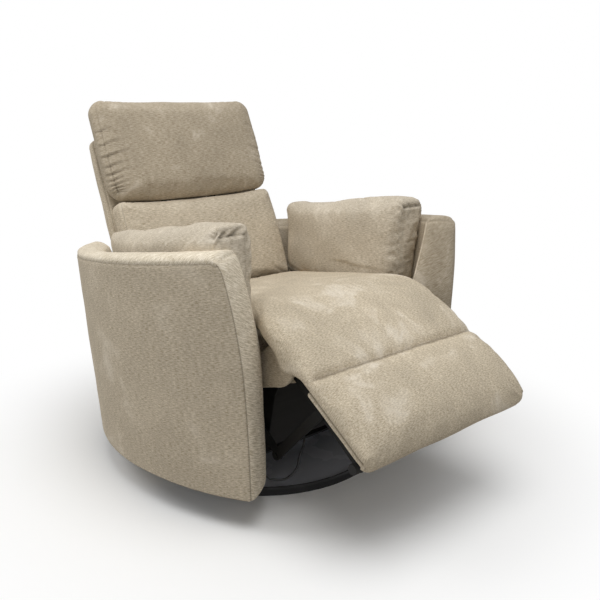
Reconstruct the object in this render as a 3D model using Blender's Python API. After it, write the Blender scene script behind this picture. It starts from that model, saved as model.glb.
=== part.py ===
"""Swivel glider recliner: barrel arms, chaise footrest, tilting headrest and two loose arm pillows."""

import math

import bmesh
import bpy
from mathutils import Vector
from mathutils.geometry import delaunay_2d_cdt

# Clearances and rounding
FIT = 0.0003
PIVOT_FIT = 0.0004
SOFT_FIT = 0.0009
DRAW_SHARE = 0.55
OVERRUN = 0.002
ROUND_STEPS = 20
TURN_STEPS = 72
CORNER_STEPS = 4

# Steel plate stock and how the plates of one side stack outwards
PLATE = 0.004
LAYER_GAP = 0.005
LAYER_START = 0.188
HANGER_LAYER = 0
LINK_LAYER = 1
PLATE_LAYER = 2
ARM_LAYER = 3
RAIL_LAYER = 4
PANEL_LAYER = 5
PIN_RADIUS = 0.0055
HEAD_RADIUS = 0.0085
HEAD_THICK = 0.002
EAR = 0.018
LINK_END = 0.013

# Swivel base
BASE_RADIUS = 0.345
RIM_WIDTH = 0.012
RIM_HEIGHT = 0.022
BASE_EDGE = 0.012
BASE_SHEET = 0.003
BASE_WALL = 0.006
DOME_HEIGHT = 0.024
BOSS_HEIGHT = 0.030
BOSS_RADIUS = 0.120
BOSS_FILLET = 0.030
RACE_WIDTH = 0.033
RACE_HEIGHT = 0.0095
SPINDLE_RADIUS = 0.012
NUT_RADIUS = 0.022
NUT_HEIGHT = 0.008
NUT_SIDES = 6
SPINDLE_PROUD = 0.004
RACE_LIP = 0.002
DOME_SHARES = (0.25, 0.5, 0.75, 1.0)
TURNTABLE_THICK = 0.006
TURNTABLE_HALF_LENGTH = 0.160
TURNTABLE_CORNER = 0.030
LIGHTENING_RADIUS = 0.028
LIGHTENING_X = 0.095
LIGHTENING_Y = 0.085

# Glide linkage
GLIDE_HALF_BASE = 0.130
GLIDE_TOP = 0.225
GLIDE_LENGTH = 0.120
LUG_HALF_FOOT = 0.026
HANGER_HALF_LENGTH = 0.150
HANGER_FLANGE = 0.040
HANGER_WAIST = 0.062
HANGER_WAIST_HALF = 0.055

# Carriage side plates
BEAM_BOTTOM = 0.155
SADDLE_DROP = 0.0603
SADDLE_FRONT = 0.068
SADDLE_REAR = 0.195
PLATE_FRONT = 0.060
PLATE_REAR = 0.020
RELIEF_RADIUS = 0.034
RELIEF_FIRST_Y = -0.070
RELIEF_PITCH = 0.095
RELIEF_COUNT = 3
TUBE_RADIUS = 0.0125
FRONT_TUBE_Y = -0.235
REAR_TUBE_Y = 0.205
TUBE_Z = 0.288
RAIL_BOARD_Y = -0.272
RAIL_BOARD_THICK = 0.018
RAIL_BOARD_BOTTOM = 0.140
RAIL_BOARD_TOP = 0.315

# Footrest hinge, and its pad in distances along it and out from the hinge line
FOOT_PIVOT_Y = -0.330
FOOT_PIVOT_Z = 0.420
SADDLE_Z = FOOT_PIVOT_Z - SADDLE_DROP
FOOT_SLOPE = 33.0
CRANK_Y = -0.170
CRANK_Z = 0.254
DRIVE_S = 0.190
DRIVE_N = -0.012
ROLL_RADIUS = 0.088
PAD_TOP_N = 0.100
PAD_LOW_N = 0.066
PAD_LENGTH = 0.391
PAD_WRAP = 0.012
PAD_WRAP_N = 0.044
PAD_SHARES = (0.25, 0.5, 0.75)
PAD_HALF_WIDTH = 0.285
PAD_CROWN = 0.006
PAD_SEAM_S = 0.166
PAD_SEAM_WIDTH = 0.016
PAD_SEAM_DEPTH = 0.007
PAD_TOE_RADIUS = 0.030
PAD_EDGE = 0.024
LIP_ANGLE = 87.0
LIP_SHARE = 0.2
UNDER_SHARES = (0.33, 0.66)
TOE_PINCH_SHARE = 0.4
PINCH_GAIN_SHARE = 1.4
SEAM_CROWN_SHARE = 0.2
BOARD_THICK = 0.013
BOARD_START = 0.170
BOARD_HALF_WIDTH = 0.273
ARM_TAIL_N = -0.018
ARM_TAIL_S = 0.300
ARM_BACK_S = 0.100
STOP_RADIUS = 0.013
STOP_WIDTH = 0.022
STOP_S = 0.338

# Crank drive
TORQUE_RADIUS = 0.009
GEARBOX_X = 0.030
GEARBOX_HALF = 0.028
GEARBOX_REACH = 0.030
MOTOR_RADIUS = 0.027
MOTOR_LENGTH = 0.105
MOTOR_CAP = 0.012

# Seat
DECK_THICK = 0.0153
DECK_FRONT_Y = -0.2537
DECK_REAR_Y = 0.188
SEAT_HALF_WIDTH = 0.262
SEAT_KNEE_Y = -0.300
SEAT_RISE = 0.002
SEAT_REAR_Z = 0.447
SEAT_REAR_RADIUS = 0.020
SEAT_EDGE = 0.022
SEAT_CROWN = 0.006
SEAT_SHARES = (0.2, 0.4, 0.6, 0.8, 1.0)
SEAT_REAR_ANGLE = 60.0
PANEL_THICK = 0.013
PANEL_BOTTOM = 0.300
PANEL_REAR_Y = 0.190
PANEL_NOSE_START = 128.0
PANEL_NOSE_END = 262.0
SIDE_DECK_TOP = 0.430
SIDE_DECK_THICK = 0.030
SIDE_DECK_FRONT_Y = -0.270
SIDE_DECK_REAR_Y = 0.200
SIDE_DECK_GAP = 0.0008

# Barrel arms: a leaning elliptical wall, its rim falling to the rear
BARREL_Y = -0.010
BARREL_X_TOP = 0.496
BARREL_Y_TOP = 0.604
BARREL_X_LOW = 0.460
BARREL_Y_LOW = 0.568
RIM_Z = 0.667
RIM_REACH = 0.326
RIM_FALL_SHARE = 0.116
RIM_CROWN = 0.008
RIM_EDGE = 0.012
SKIRT_Z = 0.095
FRONT_TOP_ANGLE = 35.2
FRONT_LOW_ANGLE = 40.9
INNER_LEAD_ANGLE = 1.4
ARM_REAR_X = 0.300
WALL_TOP = 0.091
WALL_FRONT = 0.135
WALL_REAR = 0.080
WALL_LOW = 0.095
LEDGE_DROP = 0.006
FACE_CROWN = 0.009
FACE_INSET = 0.010
FACE_CORNER = 0.030
WALL_BULGE = 0.008
BULGE_START_SHARE = 0.15
FACE_REACH_SHARE = 0.4
OUTER_SHARES = (0.0, 0.3, 0.6, 0.85, 1.0)
CROWN_SHARES = ((0.12, 0.75), (0.32, 1.0), (0.6, 0.95), (0.88, 0.55))
INNER_SHARES = (1.0, 0.8, 0.55, 0.3, 0.0)
LOWER_SHARES = (1.0, 0.66, 0.33, 0.0)
WALL_BLEND_SHARE = 0.07
ARM_STATIONS = 24
ARM_BOARD_THICK = 0.010
ARM_BOARD_INSET = 0.006
TONGUE_HALF = 0.018
REAR_PANEL_Y = 0.412
REAR_PANEL_BOW = 0.026
REAR_PANEL_THICK = 0.018
REAR_PANEL_TOP = 0.360

# Reclining back, in distances along its front plane and back from it
BACK_PIVOT_Y = 0.250
BACK_PIVOT_Z = 0.410
BACK_FOOT_Y = 0.206
BACK_FOOT_Z = 0.443
BACK_LEAN = 23.0
BACK_HALF_WIDTH = 0.280
LUMBAR_THICK = 0.075
LUMBAR_TOP = 0.292
LUMBAR_BULGE = 0.014
LUMBAR_HALF_WIDTH = 0.276
LUMBAR_EDGE = 0.030
LUMBAR_SHOULDER = 0.018
LUMBAR_SHARES = (0.12, 0.3, 0.48, 0.66, 0.84)
BACK_PINCH_SHARE = 0.3
HEAD_PINCH_SHARE = 0.6
BACK_BOTTOM_Z = 0.433
SHELL_LOW_DEPTH = 0.143
SHELL_TOP_DEPTH = 0.108
SHELL_TOP = 0.510
SHELL_RADIUS = 0.022
SHELL_EDGE = 0.018
BRACKET_REACH = 0.085
BRACKET_HEIGHT = 0.022

# Tilting head pad
HEAD_TOP = 0.601
HEAD_FRONT_LOW = 0.303
HEAD_THICK_PAD = 0.065
HEAD_SET_BACK = 0.012
HEAD_CROWN = 0.006
HEAD_TOP_RADIUS = 0.030
HEAD_CORNER_SHARE = 1.5
HEAD_SHARES = (0.0, 0.25, 0.5, 0.75, 1.0)
HEAD_BOW_ANGLE = 150.0
HEAD_EDGE = 0.030
HEAD_HALF_WIDTH = 0.282
HEAD_TILT = 25.0
HEAD_TILT_SPARE = 4.0
HEAD_ROLL_GAP = 0.0022
HEAD_PIVOT_S = 0.330
HEAD_PIVOT_T = 0.0685
HEAD_KNUCKLE = 0.0058
HEAD_PIN = 0.0028
HEAD_BOARD_THICK = 0.006
HEAD_BOARD_TOP = 0.500
HEAD_BOARD_HALF = 0.200
KNUCKLE_X = 0.070
KNUCKLE_WIDTH = 0.030
HINGE_LEAF = 0.032

# Arm pillows
PILLOW_FRONT_Y = -0.284
PILLOW_SLIP = 0.016
PILLOW_REAR_Y = 0.252
PILLOW_INNER = 0.2655
PILLOW_REAR_INNER = 0.281
PILLOW_THICK = 0.122
PILLOW_TOP_FRONT = 0.728
PILLOW_TOP_REAR = 0.665
PILLOW_LEAN = 0.022
PILLOW_CLEAR = 0.003
PILLOW_RADIUS = 0.030
PILLOW_PINCH = 0.050
PILLOW_STATIONS = 14
PILLOW_ROUND = 24
PILLOW_SQUARE_SHARE = 0.5

# Power lead and its clips
LEAD_RADIUS = 0.003
LEAD_STEPS = 20
GLAND_HALF = 0.007
GLAND_LENGTH = 0.022
GLAND_RISE = 0.004
RAIL_GLAND_X = -0.095
ARM_GLAND_X = -0.262
ARM_GLAND_Y = -0.290
LEAD_DROP = 0.030
LEAD_ENTRY = 0.025
LEAD_LOW_Z = 0.044
LEAD_FORWARD_Y = -0.294
LEAD_END_SHARES = (0.0, 0.5, 1.0)
LEAD_BEND_SHARES = ((0.138, 0.6, 0.54), (0.228, 0.87, 0.854), (0.462, 1.0, 1.0), (0.744, 0.87, 0.84))

FABRIC = ("fabric", (0.30, 0.27, 0.23), 0.0, 0.95)
BLACK_STEEL = ("black_steel", (0.02, 0.02, 0.02), 0.7, 0.45)
SLATE_PAINT = ("slate_paint", (0.08, 0.085, 0.10), 0.3, 0.35)
BLACK_PLASTIC = ("black_plastic", (0.015, 0.015, 0.015), 0.0, 0.5)
BARE_STEEL = ("bare_steel", (0.55, 0.55, 0.55), 1.0, 0.35)
BLACK_BOARD = ("black_board", (0.02, 0.02, 0.02), 0.0, 0.8)
PLYWOOD = ("plywood", (0.45, 0.30, 0.17), 0.0, 0.7)
RUBBER = ("rubber", (0.01, 0.01, 0.01), 0.0, 0.9)

SIDES = (("left", 1.0), ("right", -1.0))


# Geometry in the plane


def lerp(low, high, share):
    return low + (high - low) * share


def smooth(share):
    share = min(max(share, 0.0), 1.0)
    return share * share * (3.0 - 2.0 * share)


def layer(count):
    """Inner face of the plate layer this many places outwards."""
    return LAYER_START + count * (PLATE + LAYER_GAP)


def circle(centre, radius, steps=ROUND_STEPS):
    turn = 2.0 * math.pi / steps
    return [
        (centre[0] + radius * math.cos(k * turn), centre[1] + radius * math.sin(k * turn))
        for k in range(steps)
    ]


def arc(centre, radius, start, end, steps):
    """Points from one angle to another, in degrees, both ends included."""
    points = []
    for k in range(steps + 1):
        angle = math.radians(lerp(start, end, k / steps))
        points.append((centre[0] + radius * math.cos(angle), centre[1] + radius * math.sin(angle)))
    return points


def capsule(first, second, radius):
    heading = math.degrees(math.atan2(second[1] - first[1], second[0] - first[0]))
    half = ROUND_STEPS // 2
    return arc(second, radius, heading - 90.0, heading + 90.0, half) + arc(
        first, radius, heading + 90.0, heading + 270.0, half
    )


def rounded(corners, radius, steps=CORNER_STEPS):
    """Closed outline with every corner replaced by a tangent arc, or by its own radius where it has one."""
    outline = []
    for index, corner in enumerate(corners):
        here = Vector(corner[:2])
        before = Vector(corners[index - 1][:2]) - here
        after = Vector(corners[(index + 1) % len(corners)][:2]) - here
        size = corner[2] if len(corner) > 2 else radius
        opening = before.angle(after)
        reach = size / math.tan(opening / 2.0)
        reach = min(reach, before.length * 0.49, after.length * 0.49)
        size = reach * math.tan(opening / 2.0)
        if size <= FIT or opening > math.radians(178.0):
            outline.append(tuple(here))
            continue
        middle = (before.normalized() + after.normalized()).normalized()
        centre = here + middle * (size / math.sin(opening / 2.0))
        start = here + before.normalized() * reach - centre
        end = here + after.normalized() * reach - centre
        turn = start.angle_signed(end)
        for k in range(steps + 1):
            swing = -turn * k / steps
            outline.append(
                (
                    centre.x + start.x * math.cos(swing) - start.y * math.sin(swing),
                    centre.y + start.x * math.sin(swing) + start.y * math.cos(swing),
                )
            )
    return outline


def offset(outline, distances):
    """The outline with each point moved outwards, square to its two edges, by its own distance."""
    area = 0.0
    for index, point in enumerate(outline):
        other = outline[index - 1]
        area += other[0] * point[1] - point[0] * other[1]
    turn = 1.0 if area > 0.0 else -1.0
    moved = []
    count = len(outline)
    for index, point in enumerate(outline):
        here = Vector(point)
        before = (here - Vector(outline[index - 1])).normalized()
        after = (Vector(outline[(index + 1) % count]) - here).normalized()
        out = Vector((before.y + after.y, -before.x - after.x)) * turn
        out.normalize()
        edge = Vector((after.y, -after.x)) * turn
        stretch = min(1.0 / max(out.dot(edge), 0.5), 1.6)
        here += out * (distances[index] * stretch)
        moved.append((here.x, here.y))
    return moved


# Bodies


def across(sign, start):
    """Plane of a side plate: outline in Y and Z, thickness outwards along X."""
    return lambda a, b, c: (sign * (start + c), a, b)


def upwards(start):
    return lambda a, b, c: (a, b, start + c)


def prism(outline, holes, place, depth):
    loops = [outline] + holes
    points = [Vector(point) for loop in loops for point in loop]
    edges = []
    base = 0
    for loop in loops:
        count = len(loop)
        edges += [(base + k, base + (k + 1) % count) for k in range(count)]
        base += count
    flat = delaunay_2d_cdt(points, edges, [], 0, FIT / 100.0)
    found, faces = flat[0], flat[2]
    mesh = bmesh.new()
    low = [mesh.verts.new(place(p[0], p[1], 0.0)) for p in found]
    high = [mesh.verts.new(place(p[0], p[1], depth)) for p in found]
    kept = []
    for face in faces:
        centre = sum((found[k] for k in face), Vector((0.0, 0.0))) / len(face)
        if inside(centre, outline) and not any(inside(centre, hole) for hole in holes):
            kept.append(face)
    used = {}
    for face in kept:
        mesh.faces.new([low[k] for k in face])
        mesh.faces.new([high[k] for k in reversed(face)])
        for k, start in enumerate(face):
            pair = (start, face[(k + 1) % len(face)])
            used[pair] = True
    for start, end in used:
        if (end, start) not in used:
            mesh.faces.new([low[end], low[start], high[start], high[end]])
    loose = [vert for vert in mesh.verts if not vert.link_faces]
    bmesh.ops.delete(mesh, geom=loose, context="VERTS")
    return mesh


def inside(point, outline):
    within = False
    for index, here in enumerate(outline):
        other = outline[index - 1]
        if (here[1] > point[1]) != (other[1] > point[1]):
            cut = (other[0] - here[0]) * (point[1] - here[1]) / (other[1] - here[1]) + here[0]
            if point[0] < cut:
                within = not within
    return within


def loft(rings):
    """A closed body through closed rings of equal count, its two ends filled."""
    mesh = bmesh.new()
    rows = [[mesh.verts.new(point) for point in ring] for ring in rings]
    count = len(rows[0])
    for first, second in zip(rows, rows[1:]):
        for k in range(count):
            after = (k + 1) % count
            mesh.faces.new([first[k], first[after], second[after], second[k]])
    mesh.faces.new(list(reversed(rows[0])))
    mesh.faces.new(rows[-1])
    bmesh.ops.triangulate(mesh, faces=[face for face in mesh.faces if len(face.verts) > 4])
    return mesh


def turned(profile, steps=TURN_STEPS):
    """A body turned about Z. The profile is a closed outline in radius and height."""
    mesh = bmesh.new()
    rows = []
    for k in range(steps):
        angle = 2.0 * math.pi * k / steps
        rows.append(
            [
                mesh.verts.new((radius * math.cos(angle), radius * math.sin(angle), height))
                if radius > 0.0 or k == 0
                else rows[0][index]
                for index, (radius, height) in enumerate(profile)
            ]
        )
    count = len(profile)
    for k in range(steps):
        first, second = rows[k], rows[(k + 1) % steps]
        for index in range(count):
            after = (index + 1) % count
            corners = [first[index], second[index], second[after], first[after]]
            single = list(dict.fromkeys(corners))
            if len(single) > 2:
                mesh.faces.new(single)
    return mesh


def ring(inner, outer, low, high):
    return turned([(inner, low), (outer, low), (outer, high), (inner, high)])


def rod(sign, centre, radius, start, end, steps=ROUND_STEPS):
    """A round bar along X between two distances from the centre plane."""
    return prism(circle(centre, radius, steps), [], across(sign, start), end - start)


def box(low, high):
    mesh = bmesh.new()
    corners = [
        mesh.verts.new((x, y, z))
        for x in (low[0], high[0])
        for y in (low[1], high[1])
        for z in (low[2], high[2])
    ]
    for face in ((0, 1, 3, 2), (4, 6, 7, 5), (0, 4, 5, 1), (2, 3, 7, 6), (0, 2, 6, 4), (1, 5, 7, 3)):
        mesh.faces.new([corners[k] for k in face])
    return mesh


def solid(mesh, name):
    bmesh.ops.recalc_face_normals(mesh, faces=mesh.faces)
    data = bpy.data.meshes.new(name)
    mesh.to_mesh(data)
    mesh.free()
    item = bpy.data.objects.new(name, data)
    bpy.context.scene.collection.objects.link(item)
    return item


def combine(mesh, others, operation):
    """The body joined with, or cut by, each of the others in turn."""
    item = solid(mesh, "work")
    for other in others:
        tool = solid(other, "tool")
        tool.hide_render = True
        tool.display_type = "WIRE"
        modifier = item.modifiers.new("boolean", "BOOLEAN")
        modifier.operation = operation
        modifier.solver = "EXACT"
        modifier.object = tool
        graph = bpy.context.evaluated_depsgraph_get()
        data = bpy.data.meshes.new_from_object(item.evaluated_get(graph))
        item.modifiers.remove(modifier)
        item.data = data
        bpy.data.objects.remove(tool, do_unlink=True)
    result = bmesh.new()
    result.from_mesh(item.data)
    bpy.data.objects.remove(item, do_unlink=True)
    return result


def joined(mesh, *others):
    return combine(mesh, others, "UNION")


def cut(mesh, *others):
    return combine(mesh, others, "DIFFERENCE")


def painted(name, look):
    slot, colour, metallic, roughness = look
    paint = bpy.data.materials.new(slot + "_" + name)
    paint.use_nodes = True
    shader = paint.node_tree.nodes["Principled BSDF"]
    shader.inputs["Base Color"].default_value = (*colour, 1.0)
    shader.inputs["Metallic"].default_value = metallic
    shader.inputs["Roughness"].default_value = roughness
    return paint


def node(name, mesh, look, pivot=(0.0, 0.0, 0.0), smooth_angle=35.0):
    """One finished piece, its origin on the axis that it turns about."""
    bmesh.ops.recalc_face_normals(mesh, faces=mesh.faces)
    data = bpy.data.meshes.new(name)
    for vert in mesh.verts:
        vert.co -= Vector(pivot)
    mesh.to_mesh(data)
    mesh.free()
    data.shade_smooth()
    data.set_sharp_from_angle(angle=math.radians(smooth_angle))
    item = bpy.data.objects.new(name, data)
    item.location = pivot
    bpy.context.scene.collection.objects.link(item)
    data.materials.append(painted(name, look))
    return item


def pin(sign, centre, start, through, head_side):
    """A shouldered rivet: shank from inside its own plate through the next one, with a head beyond."""
    tip = through + head_side * (HEAD_THICK + FIT)
    low, high = min(start, tip), max(start, tip)
    shank = rod(sign, centre, PIN_RADIUS, low, high)
    face = through + head_side * FIT
    head = rod(sign, centre, HEAD_RADIUS, min(face, tip), max(face, tip))
    return joined(shank, head)


def cushion(points, half_width, edge, crown, stations=7):
    """A stuffed pad lofted across X.

    Each outline point has its share of the crown and its share of the drawn-in sides.
    """
    outline = [point[:2] for point in points]
    places = []
    for k in range(stations + 1):
        places.append(-half_width + edge * (1.0 - math.cos(math.radians(90.0 * k / stations))))
    inner = half_width - edge
    spans = max(stations - 1, 3)
    places += [lerp(-inner, inner, k / spans) for k in range(1, spans)]
    places += [-place for place in reversed(places[: stations + 1])]
    rings = []
    for x in places:
        past = max(abs(x) - inner, 0.0)
        inset = DRAW_SHARE * (edge - math.sqrt(max(edge * edge - past * past, 0.0)))
        swell = crown * (1.0 - (x / half_width) ** 2)
        moves = [point[2] * swell - point[3] * inset for point in points]
        rings.append([(x, y, z) for y, z in offset(outline, moves)])
    return loft(rings)


def clear_scene():
    for item in list(bpy.data.objects):
        bpy.data.objects.remove(item, do_unlink=True)


# Swivel base


def swivel_heights():
    lower = BOSS_HEIGHT + FIT
    upper = lower + RACE_HEIGHT + FIT
    table = upper + RACE_HEIGHT + FIT
    top = table + TURNTABLE_THICK
    return lower, upper, table, top


def make_base():
    lower, upper, table, top = swivel_heights()
    disc = BASE_RADIUS - RIM_WIDTH - FIT
    tip = top + FIT + NUT_HEIGHT + SPINDLE_PROUD
    start = BOSS_RADIUS + BOSS_FILLET
    dome = [(disc, BASE_EDGE)]
    dome += [
        (lerp(disc, start, share), lerp(BASE_EDGE, DOME_HEIGHT, math.sin(share * math.pi / 2.0)))
        for share in DOME_SHARES
    ]
    dome.append((BOSS_RADIUS, BOSS_HEIGHT))
    hollow = [(radius, height - BASE_SHEET) for radius, height in reversed(dome[1:])]
    hub = BOSS_RADIUS - BASE_WALL
    profile = [(0.0, tip), (0.0, 0.0), (hub, 0.0), (hub, BOSS_HEIGHT - BASE_SHEET)] + hollow
    profile += [(disc - BASE_WALL, BASE_EDGE - BASE_SHEET), (disc - BASE_WALL, 0.0), (disc, 0.0)] + dome
    profile += [(SPINDLE_RADIUS, BOSS_HEIGHT), (SPINDLE_RADIUS, tip)]
    node("base_plate", turned(profile), SLATE_PAINT)
    chamfer = RIM_WIDTH / 3.0
    edge = [
        (BASE_RADIUS - RIM_WIDTH, 0.0),
        (BASE_RADIUS, 0.0),
        (BASE_RADIUS, RIM_HEIGHT - chamfer),
        (BASE_RADIUS - chamfer, RIM_HEIGHT),
        (BASE_RADIUS - RIM_WIDTH + chamfer, RIM_HEIGHT),
        (BASE_RADIUS - RIM_WIDTH, RIM_HEIGHT - chamfer),
    ]
    node("base_rim", turned(edge), BLACK_PLASTIC)
    race_in = BOSS_RADIUS - RACE_WIDTH
    race_out = BOSS_RADIUS - RACE_LIP
    node("bearing_lower_race", ring(race_in, race_out, lower, lower + RACE_HEIGHT), BARE_STEEL)
    node("bearing_upper_race", ring(race_in, race_out, upper, upper + RACE_HEIGHT), BARE_STEEL)
    half = layer(HANGER_LAYER) + PLATE
    corners = [
        (half, TURNTABLE_HALF_LENGTH),
        (-half, TURNTABLE_HALF_LENGTH),
        (-half, -TURNTABLE_HALF_LENGTH),
        (half, -TURNTABLE_HALF_LENGTH),
    ]
    holes = [circle((0.0, 0.0), SPINDLE_RADIUS + PIVOT_FIT)]
    holes += [
        circle((x * LIGHTENING_X, y * LIGHTENING_Y), LIGHTENING_RADIUS) for x in (-1, 1) for y in (-1, 1)
    ]
    table_mesh = prism(rounded(corners, TURNTABLE_CORNER), holes, upwards(table), TURNTABLE_THICK)
    node("turntable_plate", table_mesh, BLACK_STEEL)
    nut = circle((0.0, 0.0), NUT_RADIUS, NUT_SIDES)
    bore = circle((0.0, 0.0), SPINDLE_RADIUS + FIT)
    node("swivel_nut", prism(nut, [bore], upwards(top + FIT), NUT_HEIGHT), BARE_STEEL)


def make_hangers():
    foot = swivel_heights()[3] + FIT
    ear = GLIDE_TOP + LINK_END
    wide = GLIDE_HALF_BASE + LINK_END
    narrow = GLIDE_HALF_BASE - LINK_END
    corners = [
        (-HANGER_HALF_LENGTH, foot, FIT),
        (HANGER_HALF_LENGTH, foot, FIT),
        (wide, ear, LINK_END),
        (narrow, ear, LINK_END),
        (HANGER_WAIST_HALF, foot + HANGER_WAIST, LINK_END),
        (-HANGER_WAIST_HALF, foot + HANGER_WAIST, LINK_END),
        (-narrow, ear, LINK_END),
        (-wide, ear, LINK_END),
    ]
    for side, sign in SIDES:
        holes = [circle((y, GLIDE_TOP), PIN_RADIUS + PIVOT_FIT) for y in (-GLIDE_HALF_BASE, GLIDE_HALF_BASE)]
        web = prism(rounded(corners, LINK_END), holes, across(sign, layer(HANGER_LAYER)), PLATE)
        low = (sign * (layer(HANGER_LAYER) - HANGER_FLANGE), -HANGER_HALF_LENGTH, foot)
        high = (sign * (layer(HANGER_LAYER) + PLATE / 2.0), HANGER_HALF_LENGTH, foot + PLATE)
        node("hanger_" + side, joined(web, box(low, high)), BLACK_STEEL)


def make_glide_links():
    inner = layer(LINK_LAYER)
    for side, sign in SIDES:
        for end, y in (("front", -GLIDE_HALF_BASE), ("rear", GLIDE_HALF_BASE)):
            top = (y, GLIDE_TOP)
            low = (y, GLIDE_TOP - GLIDE_LENGTH)
            strap = prism(capsule(low, top, LINK_END), [], across(sign, inner), PLATE)
            hang = pin(sign, top, inner + PLATE / 2.0, layer(HANGER_LAYER), -1.0)
            carry = pin(sign, low, inner + PLATE / 2.0, layer(PLATE_LAYER) + PLATE, 1.0)
            node("glide_link_" + end + "_" + side, joined(strap, hang, carry), BLACK_STEEL, (0.0, *top))


# Carriage frame


def make_side_plates():
    low_pivot = GLIDE_TOP - GLIDE_LENGTH
    ear = LINK_END
    front = FOOT_PIVOT_Y
    rear = BACK_PIVOT_Y
    corners = [
        (front - EAR, FOOT_PIVOT_Z + EAR, EAR),
        (front + EAR, FOOT_PIVOT_Z + EAR, EAR),
        (front + SADDLE_FRONT, SADDLE_Z),
        (SADDLE_REAR, SADDLE_Z),
        (rear - EAR, BACK_PIVOT_Z + EAR, EAR),
        (rear + EAR, BACK_PIVOT_Z + EAR, EAR),
        (rear + EAR, BACK_PIVOT_Z - 2.0 * EAR, EAR),
        (rear - PLATE_REAR, TUBE_Z, EAR),
        (rear - PLATE_REAR, BEAM_BOTTOM, EAR),
        (GLIDE_HALF_BASE + LUG_HALF_FOOT, BEAM_BOTTOM, ear),
        (GLIDE_HALF_BASE + ear, low_pivot - ear, ear),
        (GLIDE_HALF_BASE - ear, low_pivot - ear, ear),
        (GLIDE_HALF_BASE - LUG_HALF_FOOT, BEAM_BOTTOM, ear),
        (-GLIDE_HALF_BASE + LUG_HALF_FOOT, BEAM_BOTTOM, ear),
        (-GLIDE_HALF_BASE + ear, low_pivot - ear, ear),
        (-GLIDE_HALF_BASE - ear, low_pivot - ear, ear),
        (-GLIDE_HALF_BASE - LUG_HALF_FOOT, BEAM_BOTTOM, ear),
        (front + PLATE_FRONT, BEAM_BOTTOM, EAR),
        (front + PLATE_FRONT / 2.0, TUBE_Z, EAR),
        (front - EAR, FOOT_PIVOT_Z - 2.0 * EAR, EAR),
    ]
    pivots = [
        (-GLIDE_HALF_BASE, low_pivot),
        (GLIDE_HALF_BASE, low_pivot),
        (front, FOOT_PIVOT_Z),
        (rear, BACK_PIVOT_Z),
    ]
    for side, sign in SIDES:
        holes = [circle(centre, PIN_RADIUS + PIVOT_FIT) for centre in pivots]
        holes.append(circle((CRANK_Y, CRANK_Z), TORQUE_RADIUS + PIVOT_FIT))
        middle = (BEAM_BOTTOM + SADDLE_Z) / 2.0
        for count in range(RELIEF_COUNT):
            holes.append(circle((RELIEF_FIRST_Y + count * RELIEF_PITCH, middle), RELIEF_RADIUS))
        plate = prism(rounded(corners, EAR / 2.0), holes, across(sign, layer(PLATE_LAYER)), PLATE)
        node("side_plate_" + side, plate, BLACK_STEEL)


def make_cross_members():
    span = layer(PLATE_LAYER) - FIT
    for name, y in (("front", FRONT_TUBE_Y), ("rear", REAR_TUBE_Y)):
        tube = prism(circle((y, TUBE_Z), TUBE_RADIUS), [], across(1.0, -span), 2.0 * span)
        node("cross_tube_" + name, tube, BLACK_STEEL)
    low = (-span, RAIL_BOARD_Y, RAIL_BOARD_BOTTOM)
    high = (span, RAIL_BOARD_Y + RAIL_BOARD_THICK, RAIL_BOARD_TOP)
    node("front_rail", box(low, high), BLACK_BOARD)


def make_drive():
    centre = (CRANK_Y, CRANK_Z)
    axis = (0.0, *centre)
    reach = layer(ARM_LAYER) - FIT
    tube = prism(circle(centre, TORQUE_RADIUS), [], across(1.0, -reach), 2.0 * reach)
    node("torque_tube", tube, BARE_STEEL, axis)
    top = SADDLE_Z
    housing = rounded(
        [
            (CRANK_Y - GEARBOX_REACH, CRANK_Z - GEARBOX_REACH),
            (CRANK_Y + GEARBOX_REACH, CRANK_Z - GEARBOX_REACH),
            (CRANK_Y + GEARBOX_REACH, top, FIT),
            (CRANK_Y - GEARBOX_REACH, top, FIT),
        ],
        GEARBOX_REACH / 2.0,
    )
    bore = circle(centre, TORQUE_RADIUS + PIVOT_FIT)
    block = prism(housing, [bore], across(1.0, GEARBOX_X - GEARBOX_HALF), 2.0 * GEARBOX_HALF)
    node("motor_gearbox", block, BLACK_PLASTIC)
    start = CRANK_Y + GEARBOX_REACH + FIT
    height = CRANK_Z + GEARBOX_REACH / 2.0
    axis_points = [(0.0, MOTOR_RADIUS), (MOTOR_LENGTH - MOTOR_CAP, MOTOR_RADIUS)]
    axis_points += [(MOTOR_LENGTH, MOTOR_RADIUS - MOTOR_CAP / 2.0)]
    rings = []
    for along, radius in axis_points:
        rings.append([(GEARBOX_X + a, start + along, height + b) for a, b in circle((0.0, 0.0), radius)])
    node("drive_motor", loft(rings), BLACK_STEEL)


# Power lead


def smooth_route(knots, count):
    """Even points along a smooth curve through the route's own points."""
    route = [Vector(knot) for knot in knots]
    ends = [2.0 * route[0] - route[1]] + route + [2.0 * route[-1] - route[-2]]
    fine = []
    for index in range(1, len(ends) - 2):
        before, here, after, beyond = ends[index - 1 : index + 3]
        for k in range(count):
            t = k / count
            slope = (after - before) * t
            bend = (2.0 * before - 5.0 * here + 4.0 * after - beyond) * t**2
            twist = (3.0 * here - before - 3.0 * after + beyond) * t**3
            fine.append(here + (slope + bend + twist) / 2.0)
    fine.append(route[-1])
    runs = [0.0]
    for first, second in zip(fine, fine[1:]):
        runs.append(runs[-1] + (second - first).length)
    even = []
    for k in range(count + 1):
        wanted = runs[-1] * k / count
        index = max(place for place, run in enumerate(runs) if run <= wanted + FIT / 100.0)
        index = min(index, len(fine) - 2)
        share = (wanted - runs[index]) / (runs[index + 1] - runs[index])
        even.append(fine[index].lerp(fine[index + 1], share))
    return even


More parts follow.
